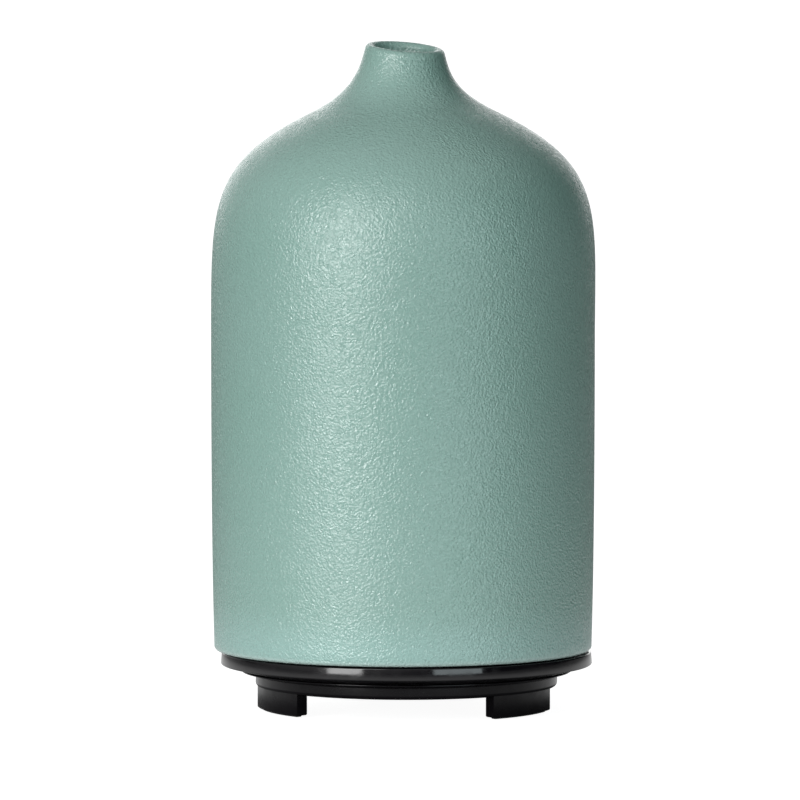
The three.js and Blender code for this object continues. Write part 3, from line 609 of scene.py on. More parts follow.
def cover_outline():
    """The cover's outer line from its foot to its lip, then the inner line back down."""
    radius = COVER_RADIUS
    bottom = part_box("ceramic_cover")[0][2]
    slope = (-math.cos(NECK_ANGLE), math.sin(NECK_ANGLE))
    neck = (NECK_RADIUS, NECK_HEIGHT)
    lip_outer = (MOUTH_RADIUS + 2 * LIP_ROUND, LIP_HEIGHT)
    foot = arc(radius - COVER_FOOT_STEP, bottom + FOOT_ROUND, FOOT_ROUND, -90, -15, 8)
    body = bezier((radius - 0.0007, bottom + 0.003), (radius - 0.0002, bottom + 0.020),
                  (radius, SHOULDER_HEIGHT - 0.030), (radius, SHOULDER_HEIGHT), 24)
    into_neck = tuple(n - s * SHOULDER_HANDLES[1] for n, s in zip(neck, slope))
    shoulder = bezier((radius, SHOULDER_HEIGHT), (radius, SHOULDER_HEIGHT + SHOULDER_HANDLES[0]),
                      into_neck, neck, 56)
    out_of_neck = tuple(n + s * NECK_HANDLE for n, s in zip(neck, slope))
    throat = bezier(neck, out_of_neck, (lip_outer[0] + 0.0012, lip_outer[1] - 0.0042), lip_outer, 28)
    outer = foot + body + shoulder[1:] + throat[1:]
    lip = arc(MOUTH_RADIUS + LIP_ROUND, LIP_HEIGHT, LIP_ROUND, 15, 180, 14)
    inner = inner_line(outer[len(foot):])
    inside_foot = [(radius - 0.0007 - COVER_WALL, bottom + 0.003)]
    inside_foot += corner(radius - 0.0003 - COVER_WALL, bottom, 0.0008, 2, 5)
    outline = outer + lip + [(MOUTH_RADIUS, LIP_HEIGHT - 0.006)] + inner + inside_foot
    glazed = len(outer) + len(lip)
    zones = [1] * 2 + [0] * (glazed - 2) + [1] * (len(outline) - glazed)
    return outline, zones


def inner_line(outer):
    """The outer line moved square to itself by the wall, which thins towards the lip."""
    line = []
    for i in range(2, len(outer) - 12):
        (r0, z0), (r1, z1) = outer[i - 1], outer[i + 1]
        length = math.hypot(r1 - r0, z1 - z0)
        height = outer[i][1]
        thinning = smoothstep(height, NECK_HEIGHT - 0.004, LIP_HEIGHT)
        wall = COVER_WALL + (2 * LIP_ROUND - COVER_WALL) * thinning
        line.append((outer[i][0] - (z1 - z0) / length * wall, height + (r1 - r0) / length * wall))
    return list(reversed(line))


def smoothstep(value, low, high):
    t = min(max((value - low) / (high - low), 0.0), 1.0)
    return t * t * (3 - 2 * t)


def shape_by_hand(mesh):
    """Leans the neck and tilts the mouth a little, as on a cover that was cast and trimmed by hand."""
    for vert in mesh.vertices:
        lean = smoothstep(vert.co.z, SHOULDER_HEIGHT, NECK_HEIGHT)
        tilt = smoothstep(vert.co.z, NECK_HEIGHT, LIP_HEIGHT)
        vert.co.z += tilt * (RIM_SLOPE[0] * vert.co.x + RIM_SLOPE[1] * vert.co.y)
        vert.co.x += lean * NECK_LEAN[0]
        vert.co.y += lean * NECK_LEAN[1]
    return mesh


def build_cover():
    outline, zones = cover_outline()
    mesh = shape_by_hand(turned(outline, 256, zones))
    moved(mesh, *COVER_AXIS)
    stand_for("ceramic_cover", mesh, "glaze", "bisque")


# ---------------------------------------------------------------- inner lid


def build_lid():
    low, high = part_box("inner_lid")
    radius, wall = high[0], 0.0018
    bottom, top = low[2], high[2]
    shoulder = 0.078
    chimney, chimney_base, chimney_top = 0.0086, 0.104, 0.0076
    skirt = corner(radius, bottom, 0.0005, 3, 4)
    dome = bezier((radius, shoulder), (radius, shoulder + 0.017),
                  (chimney + 0.009, chimney_base - 0.004), (chimney, chimney_base + 0.004), 40)
    rim = arc(chimney_top - wall / 2, top - wall / 2, wall / 2, 0, 180, 10)
    ceiling = bezier((chimney - wall, chimney_base + 0.002),
                     (chimney + 0.008, chimney_base - 0.0065),
                     (radius - wall - 0.001, shoulder + 0.016), (radius - wall - 0.001, shoulder), 40)
    ledge = [(TANK_INNER + 0.0003, TANK_RIM + 0.002), (TANK_INNER + 0.0003, TANK_RIM + 0.0003),
             (radius - wall, TANK_RIM + 0.0003), (radius - wall, bottom)]
    outline = skirt + dome + rim + ceiling + ledge
    stand_for("inner_lid", turned(outline), "white")


# ---------------------------------------------------------------- housings


def upper_outline():
    """The flange, the locating rim and the tank, then the tank's two fill lines and its floor."""
    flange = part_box("upper_housing")[1][0]
    floor = TANK_FLOOR
    bore, seal_seat, clamp_seat = 0.0065, 0.0103, 0.0148
    outline = [(SHELL_INNER, SPLIT_HEIGHT + 0.0002)]
    outline += arc(SPLIT_RADIUS - 0.0001, SPLIT_HEIGHT + 0.0003, 0.0001, -90, -15, 3)
    outline += arc(flange - FLANGE_EDGE, FLANGE_BOTTOM + FLANGE_EDGE, FLANGE_EDGE, -75, 0, 6)
    outline += corner(flange - FLANGE_DRAFT, FLANGE_TOP, FLANGE_EDGE, 0, 6)
    outline += corner(LOCATING_RADIUS, FLANGE_TOP, 0.0004, 2, 4, hollow=True)
    outline += corner(LOCATING_RADIUS, LOCATING_TOP, 0.0006, 0, 6)
    outline += corner(TANK_OUTER, LOCATING_TOP, 0.0004, 2, 4, hollow=True)
    outline += corner(TANK_OUTER, TANK_RIM, 0.0006, 0, 6)
    outline += corner(TANK_INNER, TANK_RIM, 0.0006, 1, 6)
    for height in (0.0665, 0.0705):
        outline += arc(TANK_INNER, height, 0.00025, 90, 270, 6)
    outline += arc(TANK_INNER - 0.004, floor + 0.007, 0.004, 0, -75, 14)
    outline += [(0.011, floor)]
    outline += corner(bore, floor - 0.0010, 0.0006, 1, 5)
    outline += [(bore, TANK_UNDERSIDE + 0.0006), (seal_seat, TANK_UNDERSIDE + 0.0006)]
    outline += [(seal_seat, TANK_UNDERSIDE - 0.003), (clamp_seat, TANK_UNDERSIDE - 0.003)]
    outline += [(clamp_seat, TANK_UNDERSIDE), (SHELL_INNER, TANK_UNDERSIDE + 0.003)]
    return outline


def build_upper_housing():
    duct_x, duct_top = -0.027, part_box("upper_housing")[1][2]
    added = [rounded_box((duct_x - 0.0042, -0.007, TANK_UNDERSIDE + 0.0015),
                         (duct_x + 0.0042, 0.007, duct_top), 0.0006)]
    removed = [rounded_box((duct_x - 0.0027, -0.0055, TANK_UNDERSIDE - 0.005),
                           (duct_x + 0.0027, 0.0055, duct_top + 0.002), 0.0008)]
    boss_low = FLOOR_TOP + 0.0004
    for i in range(3):
        x, y = on_circle(BOSS_ORBIT, i * THIRD_TURN)
        added.append(drum(0.0032, boss_low, TANK_UNDERSIDE + 0.004, x, y))
        removed.append(drum(PILOT_RADIUS, boss_low - 0.001, boss_low + 0.014, x, y))
        x, y = on_circle(CLAMP_SCREW_ORBIT, (i + 0.5) * THIRD_TURN)
        removed.append(drum(PILOT_RADIUS, 0.036, 0.041, x, y))
    post_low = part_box("main_pcb")[1][2] + GAP
    for side, word in SIDES:
        x, y = on_circle(BOARD_SCREW_ORBIT, side * THIRD_TURN / 2)
        added.append(drum(0.0028, post_low, TANK_UNDERSIDE + 0.003, x, y))
        removed.append(drum(PILOT_RADIUS, post_low - 0.001, post_low + 0.008, x, y))
        window = middle("led_window_" + word)
        removed.append(drum(0.003, 0.038, 0.049, window.x, window.y, steps=40))
    stand_for("upper_housing", carved(turned(upper_outline()), added, removed), "black")


def lower_outline():
    rim_inner = SHELL_INNER - 0.0016
    rim_outer = SHELL_INNER - 0.0003
    outline = [(0, SKIRT_BOTTOM)]
    outline += corner(SKIRT_RADIUS, SKIRT_BOTTOM, 0.001, 3, 8)
    outline += [(SKIRT_RADIUS, CONE_BOTTOM), (SPLIT_RADIUS, SPLIT_HEIGHT - 0.00035)]
    outline += corner(SPLIT_RADIUS, SPLIT_HEIGHT - 0.0001, 0.0001, 0, 3)
    outline += [(rim_outer, SPLIT_HEIGHT - 0.0001), (rim_outer, SPLIT_HEIGHT + 0.0015)]
    outline += [(rim_inner, SPLIT_HEIGHT + 0.0015), (rim_inner, FLOOR_TOP), (0, FLOOR_TOP)]
    return outline


def build_lower_housing():
    """The skirt and its floor, with the rear pod, the front feet, the grille and the screws' recesses."""
    shell = moved(turned(lower_outline()), turn=(SEAM_TURN, "Z"))
    foot_low = 0.0004
    pod_half, pod_front, pod_back = 0.0153, 0.0187, SKIRT_RADIUS - 0.00002
    half_angle = math.degrees(math.asin(pod_half / pod_back))
    back = [on_circle(pod_back, 180 + half_angle * (2 * i / 32 - 1)) for i in range(33)]
    pod = [(-pod_half, pod_front), (pod_half, pod_front), *back]
    added = [extruded(pod, foot_low, FLOOR_TOP - 0.0007, 0.0006)]
    cavity = rounded_box((-0.0135, 0.0205, 0.0018), (0.0135, 0.0332, 0.014), 0.0006)
    pocket = rounded_box((-0.013, 0.0356, -0.002), (0.013, 0.046, 0.0135), 0.0008)
    rear_seat = rounded_box((-0.0122, 0.0247, -0.001), (0.0122, 0.0313, 0.0014), 0.0004)
    removed = [cavity, pocket, rear_seat]
    for x, radius in ((0, 0.0037), (-BUTTON_X, 0.0025), (BUTTON_X, 0.0025)):
        bore = [(0, 0.0322), (radius, 0.0322), (radius, 0.0352), (radius + 0.0008, 0.0360), (0, 0.0360)]
        bore = moved(turned(bore, 48), turn=(SEAM_TURN, "Z"))
        removed.append(facing_rear(bore, x))
    for side, _ in SIDES:
        azimuth = side * THIRD_TURN / 2
        foot = ring_sector(FOOT_INNER, FOOT_OUTER, azimuth, FOOT_HALF_ANGLE)
        seat = ring_sector(FOOT_INNER + 0.0006, FOOT_OUTER - 0.0006, azimuth, FOOT_HALF_ANGLE - 1.1)
        added.append(extruded(foot, foot_low, FLOOR_TOP - 0.001, 0.0004, 4))
        removed.append(extruded(seat, -0.001, 0.0014))
        removed.append(drum(PILOT_RADIUS, 0.0068, 0.0092, side * FAN_SCREW, FAN_Y + side * FAN_SCREW))
    mouth, seat, through = SKIRT_BOTTOM - 0.0006, SKIRT_BOTTOM + 0.0012, 0.009
    recess = [(0, mouth), (0.0029, mouth), (0.0026, SKIRT_BOTTOM + 0.0003), (0.0026, seat),
              (0.0014, seat), (0.0014, through), (0, through)]
    for i in range(3):
        removed.append(moved(turned(recess, 40), *on_circle(BOSS_ORBIT, i * THIRD_TURN)))
    reach, pitch = 0.013, 0.0044
    for i in range(-2, 3):
        half = math.sqrt(reach**2 - (i * pitch) ** 2)
        removed.append(moved(extruded(pill(0.0011, half), 0.005, through), i * pitch, FAN_Y))
    stand_for("lower_housing", carved(shell, added, removed), "under_black")


def build_foot_pads():
    inset_by = 0.0009
    for side, word in SIDES:
        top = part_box("foot_pad_" + word)[1][2]
        outline = ring_sector(FOOT_INNER + inset_by, FOOT_OUTER - inset_by, side * THIRD_TURN / 2,
                              FOOT_HALF_ANGLE - 1.7)
        stand_for("foot_pad_" + word, extruded(outline, 0.0, top, 0.0003), "foot_rubber")
    stand_for("foot_pad_rear", rounded_box(*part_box("foot_pad_rear"), 0.0003), "foot_rubber")


# ---------------------------------------------------------------- rear controls


def build_buttons():
    """Caps with a soft edge: a raised dot marks the mist button and a raised ring the light button."""
    marks = {
        "mist": [(0.0007, 0), (0.0006, 0.00014), (0, 0.0002)],
        "light": [(0.0011, 0), (0.00105, 0.00014), (0.00085, 0.00014), (0.0008, 0), (0, 0)],
    }
    for word, mark in marks.items():
        low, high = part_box(word + "_button")
        x, back, face = middle(word + "_button").x, low[1], high[1] - 0.0002
        outline = [(0, back), (0.0029, back), (0.003, back + 0.0001), (0.003, back + 0.0011),
                   (0.0029, back + 0.0012), (0.0022, back + 0.0012)]
        outline += corner(0.0022, face, 0.0004, 0, 6)
        outline += [(radius, face - 0.0001 + rise) for radius, rise in mark]
        cap = facing_rear(turned(outline, 64), x)
        stand_for(word + "_button", cap, "black")
        build_switch(word, x)


def build_switch(word, x):
    """A tact switch: a black case under a pressed steel lid on four legs, with its plunger."""
    low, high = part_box(word + "_switch")
    hole_radius, margin, clear = 0.0019, 0.0002, 0.001
    case = rounded_box(low, (high[0], high[1] - 0.0005, high[2]), 0.0002)
    lid = rounded_box((low[0] + margin, high[1] - 0.0004, low[2] + margin),
                      (high[0] - margin, high[1], high[2] - margin), 0.00015)
    hole, window = (facing_rear(drum(hole_radius, start, high[1] + clear), x)
                    for start in (low[1] + 0.0008, high[1] - clear))
    parts = [carved(case, (), [hole]), finish_index(carved(lid, (), [window]), 1)]
    for across in (-1, 1):
        for up in (-1, 1):
            height = CONTROL_HEIGHT + up * 0.0022
            parts.append(pin(x + across * 0.0032, low[1] + 0.0013, height - 0.00035, height + 0.00035,
                             0.00015, 0.0012, 0.00008, 2))
    stand_for(word + "_switch", joined(parts), "component", "tin")
    low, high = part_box(word + "_plunger")
    stem = drum(0.0016, low[1], high[1], edge=0.0003, steps=40)
    stand_for(word + "_plunger", facing_rear(stem, x), "cream")


def build_dc_jack():
    low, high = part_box("dc_jack")
    bore_radius, bore_end, face = 0.00285, 0.0255, 0.0329
    body = rounded_box((low[0], low[1] + 0.0008, low[2]), (high[0], face, high[2]), 0.0004)
    nose = [(0, 0.032), (0.0034, 0.032), (0.0034, high[1] - 0.0003), (0.0031, high[1]), (0, high[1])]
    bore = [(0, bore_end), (bore_radius, bore_end), (bore_radius, high[1] - 0.0004),
            (0.0032, high[1] + 0.0001), (0, high[1] + 0.0001)]
    tools = [turned(nose, 64), moved(turned(bore, 64), turn=(SEAM_TURN, "Z")),
             drum(0.0013, low[1] - 0.001, 0.026)]
    nose, bore, socket = (facing_rear(tool) for tool in tools)
    parts = [carved(body, [nose], [bore, socket])]
    parts.append(finish_index(rounded_box((-0.0009, 0.0262, low[2] + 0.0008),
                                          (0.0009, 0.0338, low[2] + 0.0011), 0.0001, 2), 1))
    for x in (-0.002, 0.002):
        parts.append(finish_index(rounded_box((x - 0.0012, low[1], low[2] + 0.0012),
                                              (x + 0.0012, low[1] + 0.0011, low[2] + 0.0015), 0.0001, 2), 1))
    stand_for("dc_jack", joined(parts), "component", "tin")
    low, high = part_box("dc_jack_pin")
    radius, dome = 0.001, 0.0009
    outline = [(0, low[1]), (radius, low[1]), (radius, high[1] - dome)]
    outline += arc(0, high[1] - dome, dome, 8, 90, 8)
    contact = facing_rear(turned(outline, 40))
    stand_for("dc_jack_pin", contact, "steel")


# ---------------------------------------------------------------- fasteners


def screw_mesh(node, shank, head_height, head_up=False):
    """A pan-head screw along Z: a domed head with a cross recess, and a shank with its thread's ridges."""
    low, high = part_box(node)
    length, radius = high[2] - low[2], (high[0] - low[0]) / 2
    edge = head_height * 0.55
    outline = [(0, 0)]
    outline += [(radius * 0.55, 0.00002), (radius * 0.82, head_height * 0.12)]
    outline += [(radius, edge), (radius, head_height - 0.0001), (radius - 0.0001, head_height)]
    outline += [(shank * 0.8, head_height)]
    pitch = 0.0008
    ridges = int((length - head_height - 0.0015) / pitch)
    for i in range(ridges):
        start = head_height + 0.0004 + i * pitch
        outline += [(shank * 0.8, start), (shank, start + pitch * 0.35), (shank * 0.8, start + pitch * 0.7)]
    outline += [(shank * 0.5, length - 0.0003), (0, length)]
    head = turned(outline, 40)
    arm, wing, depth = radius * 0.58, radius * 0.13, head_height * 0.5
    arms = [rounded_box((-x, -y, -0.001), (x, y, depth), wing * 0.4, 2)
            for x, y in ((arm, wing), (wing, arm))]
    mesh = carved(head, (), arms)
    centre = middle(node)
    if head_up:
        return moved(mesh, centre.x, centre.y, high[2], turn=(180, "X"))
    return moved(mesh, centre.x, centre.y, low[2])


def build_screws():
    for i in (1, 2, 3):
        for word, shank, head in (("housing", 0.0009, 0.0012), ("transducer", 0.0008, 0.0012)):
            node = f"{word}_screw_{i}"
            stand_for(node, screw_mesh(node, shank, head), "steel")
    for i in (1, 2):
        stand_for(f"pcb_screw_{i}", screw_mesh(f"pcb_screw_{i}", 0.0009, 0.0014), "steel")
        stand_for(f"fan_screw_{i}", screw_mesh(f"fan_screw_{i}", 0.0009, 0.0014, True), "steel")


# ---------------------------------------------------------------- ultrasonic disc


def build_transducer():
    """The steel-faced disc with its ceramic and electrode below, its rubber seal and its clamp ring."""
    low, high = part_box("transducer_disc")
    radius, bottom, top, step = high[0], low[2], high[2], 0.0001
    disc = [(0, bottom), (0.0036, bottom), (0.0037, bottom + step), (0.0052, bottom + step),
            (0.0053, bottom + 0.0003), (radius - step, bottom + 0.0003), (radius, bottom + 0.0004),
            (radius, top - step), (radius - step, top), (0.0034, top), (0.0032, top - step), (0, top - step)]
    stand_for("transducer_disc", turned(disc, 96), "disc")
    low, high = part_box("transducer_gasket")
    inner, groove, half, rounding = 0.0056, radius + GAP, (top - bottom) / 2 + GAP, 0.0004
    centre = (top + bottom) / 2
    seal = corner(inner, low[2], rounding, 2, 4) + corner(high[0], low[2], rounding, 3, 4)
    seal += corner(high[0], high[2], rounding, 0, 4) + corner(inner, high[2], rounding, 1, 4)
    seal += [(inner, centre + half), (groove, centre + half), (groove, centre - half), (inner, centre - half)]
    stand_for("transducer_gasket", turned(seal, 96), "seal_rubber")
    low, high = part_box("transducer_clamp")
    inner, outer, edge = 0.0052, high[0], 0.0003
    clamp = [(inner, low[2]), (outer - edge, low[2]), (outer, low[2] + edge), (outer, high[2] - edge),
             (outer - edge, high[2]), (inner, high[2])]
    holes = []
    for i in range(3):
        x, y = on_circle(CLAMP_SCREW_ORBIT, (i + 0.5) * THIRD_TURN)
        holes.append(drum(PILOT_RADIUS, 0.03, 0.04, x, y))
    stand_for("transducer_clamp", carved(turned(clamp, 96), (), holes), "cream")


# ---------------------------------------------------------------- fan


def build_fan_frame():
    low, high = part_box("fan_frame")
    half, corner = high[0], 0.003
    outline = []
    for turn, (x, y) in enumerate(((1, 1), (-1, 1), (-1, -1), (1, -1))):
        for i in range(7):
            angle = math.radians(90 * turn + 15 * i)
            outline.append((x * (half - corner) + corner * math.cos(angle),
                            y * (half - corner) + corner * math.sin(angle)))
    body = extruded(outline, low[2], high[2], 0.0004)
    bore = [(0, low[2] - 0.001), (0.0146, low[2] - 0.001), (0.0144, low[2]), (0.014, low[2] + 0.0012),
            (0.014, high[2] - 0.0008), (0.0143, high[2]), (0.0145, high[2] + 0.001), (0, high[2] + 0.001)]
    floor = high[2] - 0.0014
    arms = [drum(0.007, floor, high[2], edge=0.0003, steps=64), drum(0.0026, low[2] + 0.003, floor + 0.0005)]
    for turn in range(4):
        arm = rounded_box((0.0026, -0.0009, floor + 0.0001), (0.0146, 0.0009, high[2] - 0.0001), 0.0003)
        arms.append(moved(arm, turn=(90 * turn + 20, "Z")))
    bore_mesh = moved(turned(bore, 96), turn=(SEAM_TURN, "Z"))
    frame_mesh = carved(body, (), [bore_mesh])
    holes = [drum(0.0018, low[2] - 0.001, high[2] - 0.0007)]
    slot_spread = 1.17
    for x in (-FAN_SCREW, FAN_SCREW):
        for y in (-FAN_SCREW, FAN_SCREW):
            holes.append(drum(0.0015, low[2] - 0.001, high[2] + 0.001, x, y))
            holes.append(drum(0.0026, low[2] + 0.002, high[2] - 0.002, x * slot_spread, y * slot_spread))
    stand_for("fan_frame", moved(carved(frame_mesh, arms, holes), 0, FAN_Y), "fan_black")


def blade_mesh(root, tip, low, high, thickness=0.0007):
    """One twisted, swept blade: steep at its root and flatter at its tip."""
    bm = bmesh.new()
    across, along = 8, 10
    sheets = []
    for face in (-0.5, 0.5):
        grid = []
        for i in range(across + 1):
            u = i / across
            radius = root + (tip - root) * u
            pitch = math.radians(52 - 16 * u)
            row = []
            for k in range(along + 1):
                v = k / along - 0.5
                bow = 0.0009 * (1 - 4 * v * v)
                taper = thickness * (1 - 0.7 * abs(2 * v) ** 2)
                height = (high - low) * (v + 0.5)
                sideways = height / math.tan(pitch) - 0.004 + bow + face * taper + 0.0014 * u * u
                row.append(bm.verts.new((radius * math.cos(sideways / radius),
                                         radius * math.sin(sideways / radius), low + height)))
            grid.append(row)
        sheets.append(grid)
    back, front = sheets
    for i in range(across):
        for k in range(along):
            for sheet in sheets:
                bm.faces.new((sheet[i][k], sheet[i + 1][k], sheet[i + 1][k + 1], sheet[i][k + 1]))
    for i in range(across):
        for k in (0, along):
            bm.faces.new((back[i][k], back[i + 1][k], front[i + 1][k], front[i][k]))
    for k in range(along):
        for i in (0, across):
            bm.faces.new((back[i][k], back[i][k + 1], front[i][k + 1], front[i][k]))
    return mesh_from(bm)


def build_fan_rotor():
    low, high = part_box("fan_rotor")[0][2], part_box("fan_stator")[1][2] + 0.0001
    hub = [(0.0011, low), (0.0066, low)]
    hub += corner(0.0074, low, 0.0008, 3, 6)
    hub += [(0.0074, high - 0.0001), (0.0073, high), (0.0065, high), (0.0064, high - 0.0001),
            (0.0064, low + 0.0012), (0.0011, low + 0.0012)]
    blades = [moved(blade_mesh(0.0070, 0.0134, low + 0.0006, high - 0.0006), turn=(360 / 7 * i, "Z"))
              for i in range(7)]
    stand_for("fan_rotor", moved(carved(turned(hub, 96), blades), 0, FAN_Y), "fan_black")


def build_fan_motor():
    """The shaft, its sintered bush, and a four-pole stator with a coil on each arm."""
    low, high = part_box("fan_shaft")
    stand_for("fan_shaft", drum(high[0], low[2], high[2], 0, FAN_Y, 0.0001, 40), "steel")
    low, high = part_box("fan_bearing")
    inner, outer, edge = 0.00095, high[0], 0.0001
    bush = [(inner + edge, low[2]), (outer - edge, low[2]), (outer, low[2] + edge), (outer, high[2] - edge),
            (outer - edge, high[2]), (inner + edge, high[2]), (inner, high[2] - edge), (inner, low[2] + edge)]
    stand_for("fan_bearing", moved(turned(bush, 48), 0, FAN_Y), "brass")
    low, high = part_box("fan_stator")
    bottom, top = low[2] + 0.0008, high[2] - 0.0008
    core = turned([(0.0029, bottom), (0.0035, bottom), (0.0035, top), (0.0029, top)], 64)
    limbs, coils = [], []
    for i in range(4):
        turn = (90 * i - 90, "Z")
        limb = rounded_box((0.0033, -0.0005, bottom), (0.0054, 0.0005, top), 0.0001, 2)
        limbs += [extruded(ring_sector(0.0052, high[0], 90 * i, 34, 12), bottom, top), moved(limb, turn=turn)]
        path = []
        for k in range(6 * 16 + 1):
            angle = 2 * math.pi * k / 16
            swell = 1 / max(abs(math.cos(angle)), abs(math.sin(angle)), 0.8)
            path.append((0.00375 + 0.0012 * k / 96, 0.00088 * swell * math.cos(angle),
                         (bottom + top) / 2 + (top - bottom + 0.0008) / 2 * swell * math.sin(angle) * 0.98))
        coils.append(finish_index(moved(tube(path, 0.00012, 8), turn=turn), 1))
    stator = joined([carved(core, limbs), *coils])
    stand_for("fan_stator", moved(stator, 0, FAN_Y), "tin", "winding")


# ---------------------------------------------------------------- boards


def solder_joints(places, height):
    """Small solder cones at (x, y) places under a board's lower face."""
    outline = [(0, height), (0.0009, height), (0.0006, height - 0.0002), (0.00035, height - 0.0005),
               (0, height - 0.0006)]
    return [finish_index(moved(turned(outline, 16), x, y), 1) for x, y in places]


def build_main_board():
    low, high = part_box("main_pcb")
    board = drum(0.034, low[2], high[2], edge=0.0001, steps=ROUND_STEPS)
    under, over = low[2] - 0.001, high[2] + 0.001
    removed = [rounded_box((-0.036, -0.009, under), (-0.0215, 0.009, over), 0.0009)]
    for i in range(3):
        removed.append(drum(0.0037, under, over, *on_circle(BOSS_ORBIT, i * THIRD_TURN)))
    for side, _ in SIDES:
        removed.append(drum(0.0014, under, over, *on_circle(BOARD_SCREW_ORBIT, side * THIRD_TURN / 2)))
    joints_mm = [(4.0, 22), (6.0, 22), (14, -2.5), (14, 0), (14, 2.5), (-14, -18), (-14, -14), (-13, 5),
                 (-13, 9), (-2, -22), (0, -22), (2, -22), (-14, 20), (-12, 20), (12, 20), (14, 20)]
    cones = solder_joints([(x / 1000, y / 1000) for x, y in joints_mm], low[2] + 0.0001)
    stand_for("main_pcb", joined([carved(board, (), removed), *cones]), "mask", "tin")


def build_control_board():
    """The upright board, narrower between its arms, and the header that joins it to the main board."""
    low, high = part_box("control_board")
    arm_half, lug = 0.0044, 0.0095
    outline = [(low[0], low[2]), (-arm_half, low[2]), (-arm_half, lug), (arm_half, lug),
               (arm_half, low[2]), (high[0], low[2]), (high[0], high[2]), (low[0], high[2])]
    board = extruded(outline, 0, high[1] - low[1], 0.0001, 1)
    stand_for("control_board", moved(board, 0, high[1], 0, turn=(90, "X")), "mask")
    low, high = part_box("board_header")
    strip = rounded_box((low[0], low[1], low[2] + 0.0009), high, 0.0003, 2)
    gaps = [rounded_box((x - 0.0001, low[1] - 0.001, low[2] - 0.001),
                        (x + 0.0001, low[1] + 0.0003, high[2] + 0.001), 0.00005, 1)
            for x in (-0.0025, 0, 0.0025)]
    pins = [pin(x, low[1] + 0.0011, low[2], low[2] + 0.0014)
            for x in (-0.00375, -0.00125, 0.00125, 0.00375)]
    header = joined([carved(strip, (), gaps), *pins])
    stand_for("board_header", header, "component", "tin")


def build_chip():
    """The controller: a moulded body with chamfered sides and eight bent legs along each long side."""
    low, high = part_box("controller_chip")
    inset_by, root_height, foot_height = 0.0009, low[2] + 0.0009, low[2] + 0.0002
    body = rounded_box((low[0], low[1] + inset_by, low[2] + 0.0001),
                       (high[0], high[1] - inset_by, high[2]), 0.00025, 1)
    dot = drum(0.0004, high[2] - 0.00008, high[2] + 0.001, low[0] + 0.0009, low[1] + 2 * inset_by)
    parts = [carved(body, (), [dot])]
    for side, edge in ((-1, low[1]), (1, high[1])):
        root = edge - side * inset_by
        for i in range(8):
            x = low[0] + (high[0] - low[0]) * (i + 0.5) / 8
            leg = [(x, root - side * 0.0002, root_height), (x, root + side * 0.0003, root_height),
                   (x, root + side * 0.0005, foot_height), (x, edge, foot_height)]
            parts.append(finish_index(tube(leg, 0.00018, 6), 1))
    stand_for("controller_chip", joined(parts), "component", "tin")


def build_inductors():
    """Ferrite drum cores, each with one layer of copper in its groove."""
    for node in ("boost_inductor", "filter_inductor"):
        low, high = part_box(node)
        centre, radius = middle(node), (high[1] - low[1]) / 2
        bottom, top, wire = low[2], high[2], 0.0003
        groove, lip = radius - 0.0013, 0.0011
        core = [(0, bottom), (radius - 0.0002, bottom), (radius, bottom + 0.0002), (radius, bottom + lip),
                (groove, bottom + lip), (groove, top - lip), (radius, top - lip), (radius, top - 0.0002),
                (radius - 0.0002, top), (0, top)]
        winding_path = coil(groove + wire, bottom + lip + wire, top - lip - wire, 6, centre.x, centre.y)
        parts = [moved(turned(core, 64), centre.x, centre.y),
                 finish_index(tube(winding_path, wire * 0.96, 10), 1)]
        stand_for(node, joined(parts), "component", "winding")


def build_capacitor():
    """An electrolytic can: a sleeve rolled in over a vented aluminium top and above its rubber bung."""
    low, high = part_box("capacitor")
    centre, radius = middle("capacitor"), (high[0] - low[0]) / 2
    bottom, top = low[2], high[2]
    outline = [(0, bottom), (radius - 0.0004, bottom), (radius, bottom + 0.0003), (radius, bottom + 0.0011)]
    outline += arc(radius + 0.0001, bottom + 0.0017, 0.0006, 260, 100, 8)
    outline += corner(radius, top, 0.0005, 0, 5)
    outline += [(radius - 0.0009, top), (radius - 0.0010, top - 0.0002), (0, top - 0.0002)]
    zones = [0] * (len(outline) - 2) + [1]
    vents = [rounded_box((-x, -y, top - 0.00035), (x, y, top + 0.001), 0.00005, 1)
             for x, y in ((0.0024, 0.00012), (0.00012, 0.0024))]
    can = carved(turned(outline, 64, zones), (), vents)
    stand_for("capacitor", moved(can, centre.x, centre.y), "sleeve", "aluminium")


def build_power_stage():
    """The switching transistor, its metal tab against the finned heat sink."""
    low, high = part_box("mosfet")
    tab = finish_index(rounded_box((high[0] - 0.0009, low[1], low[2]), high, 0.0002, 2), 1)
    case = rounded_box((low[0], low[1] + 0.0002, low[2] + 0.0008),
                       (high[0] - 0.0008, high[1] - 0.0002, high[2] - 0.0003), 0.0004, 2)
    legs = [pin(low[0] + 0.00185, y, low[2], low[2] + 0.001, 0.00025, 0.0004) for y in (-0.0025, 0, 0.0025)]
    stand_for("mosfet", joined([case, tab, *legs]), "component", "tin")
    low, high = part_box("heat_sink")
    base, fin, pitch = low[2] + 0.0017, 0.0010, 0.0019
    comb = [(low[0], low[2]), (high[0], low[2])]
    for i in range(5):
        right = high[0] - i * pitch
        left = max(right - fin, low[0])
        comb += [(right, high[2] - 0.0002), (right - 0.0002, high[2]), (left + 0.0002, high[2]),
                 (left, high[2] - 0.0002)]
        if i < 4:
            comb += [(left, base), (right - pitch, base)]
    sink = moved(extruded(comb, low[1], high[1], 0.0001, 1), turn=(90, "X"))
    stand_for("heat_sink", sink, "aluminium")


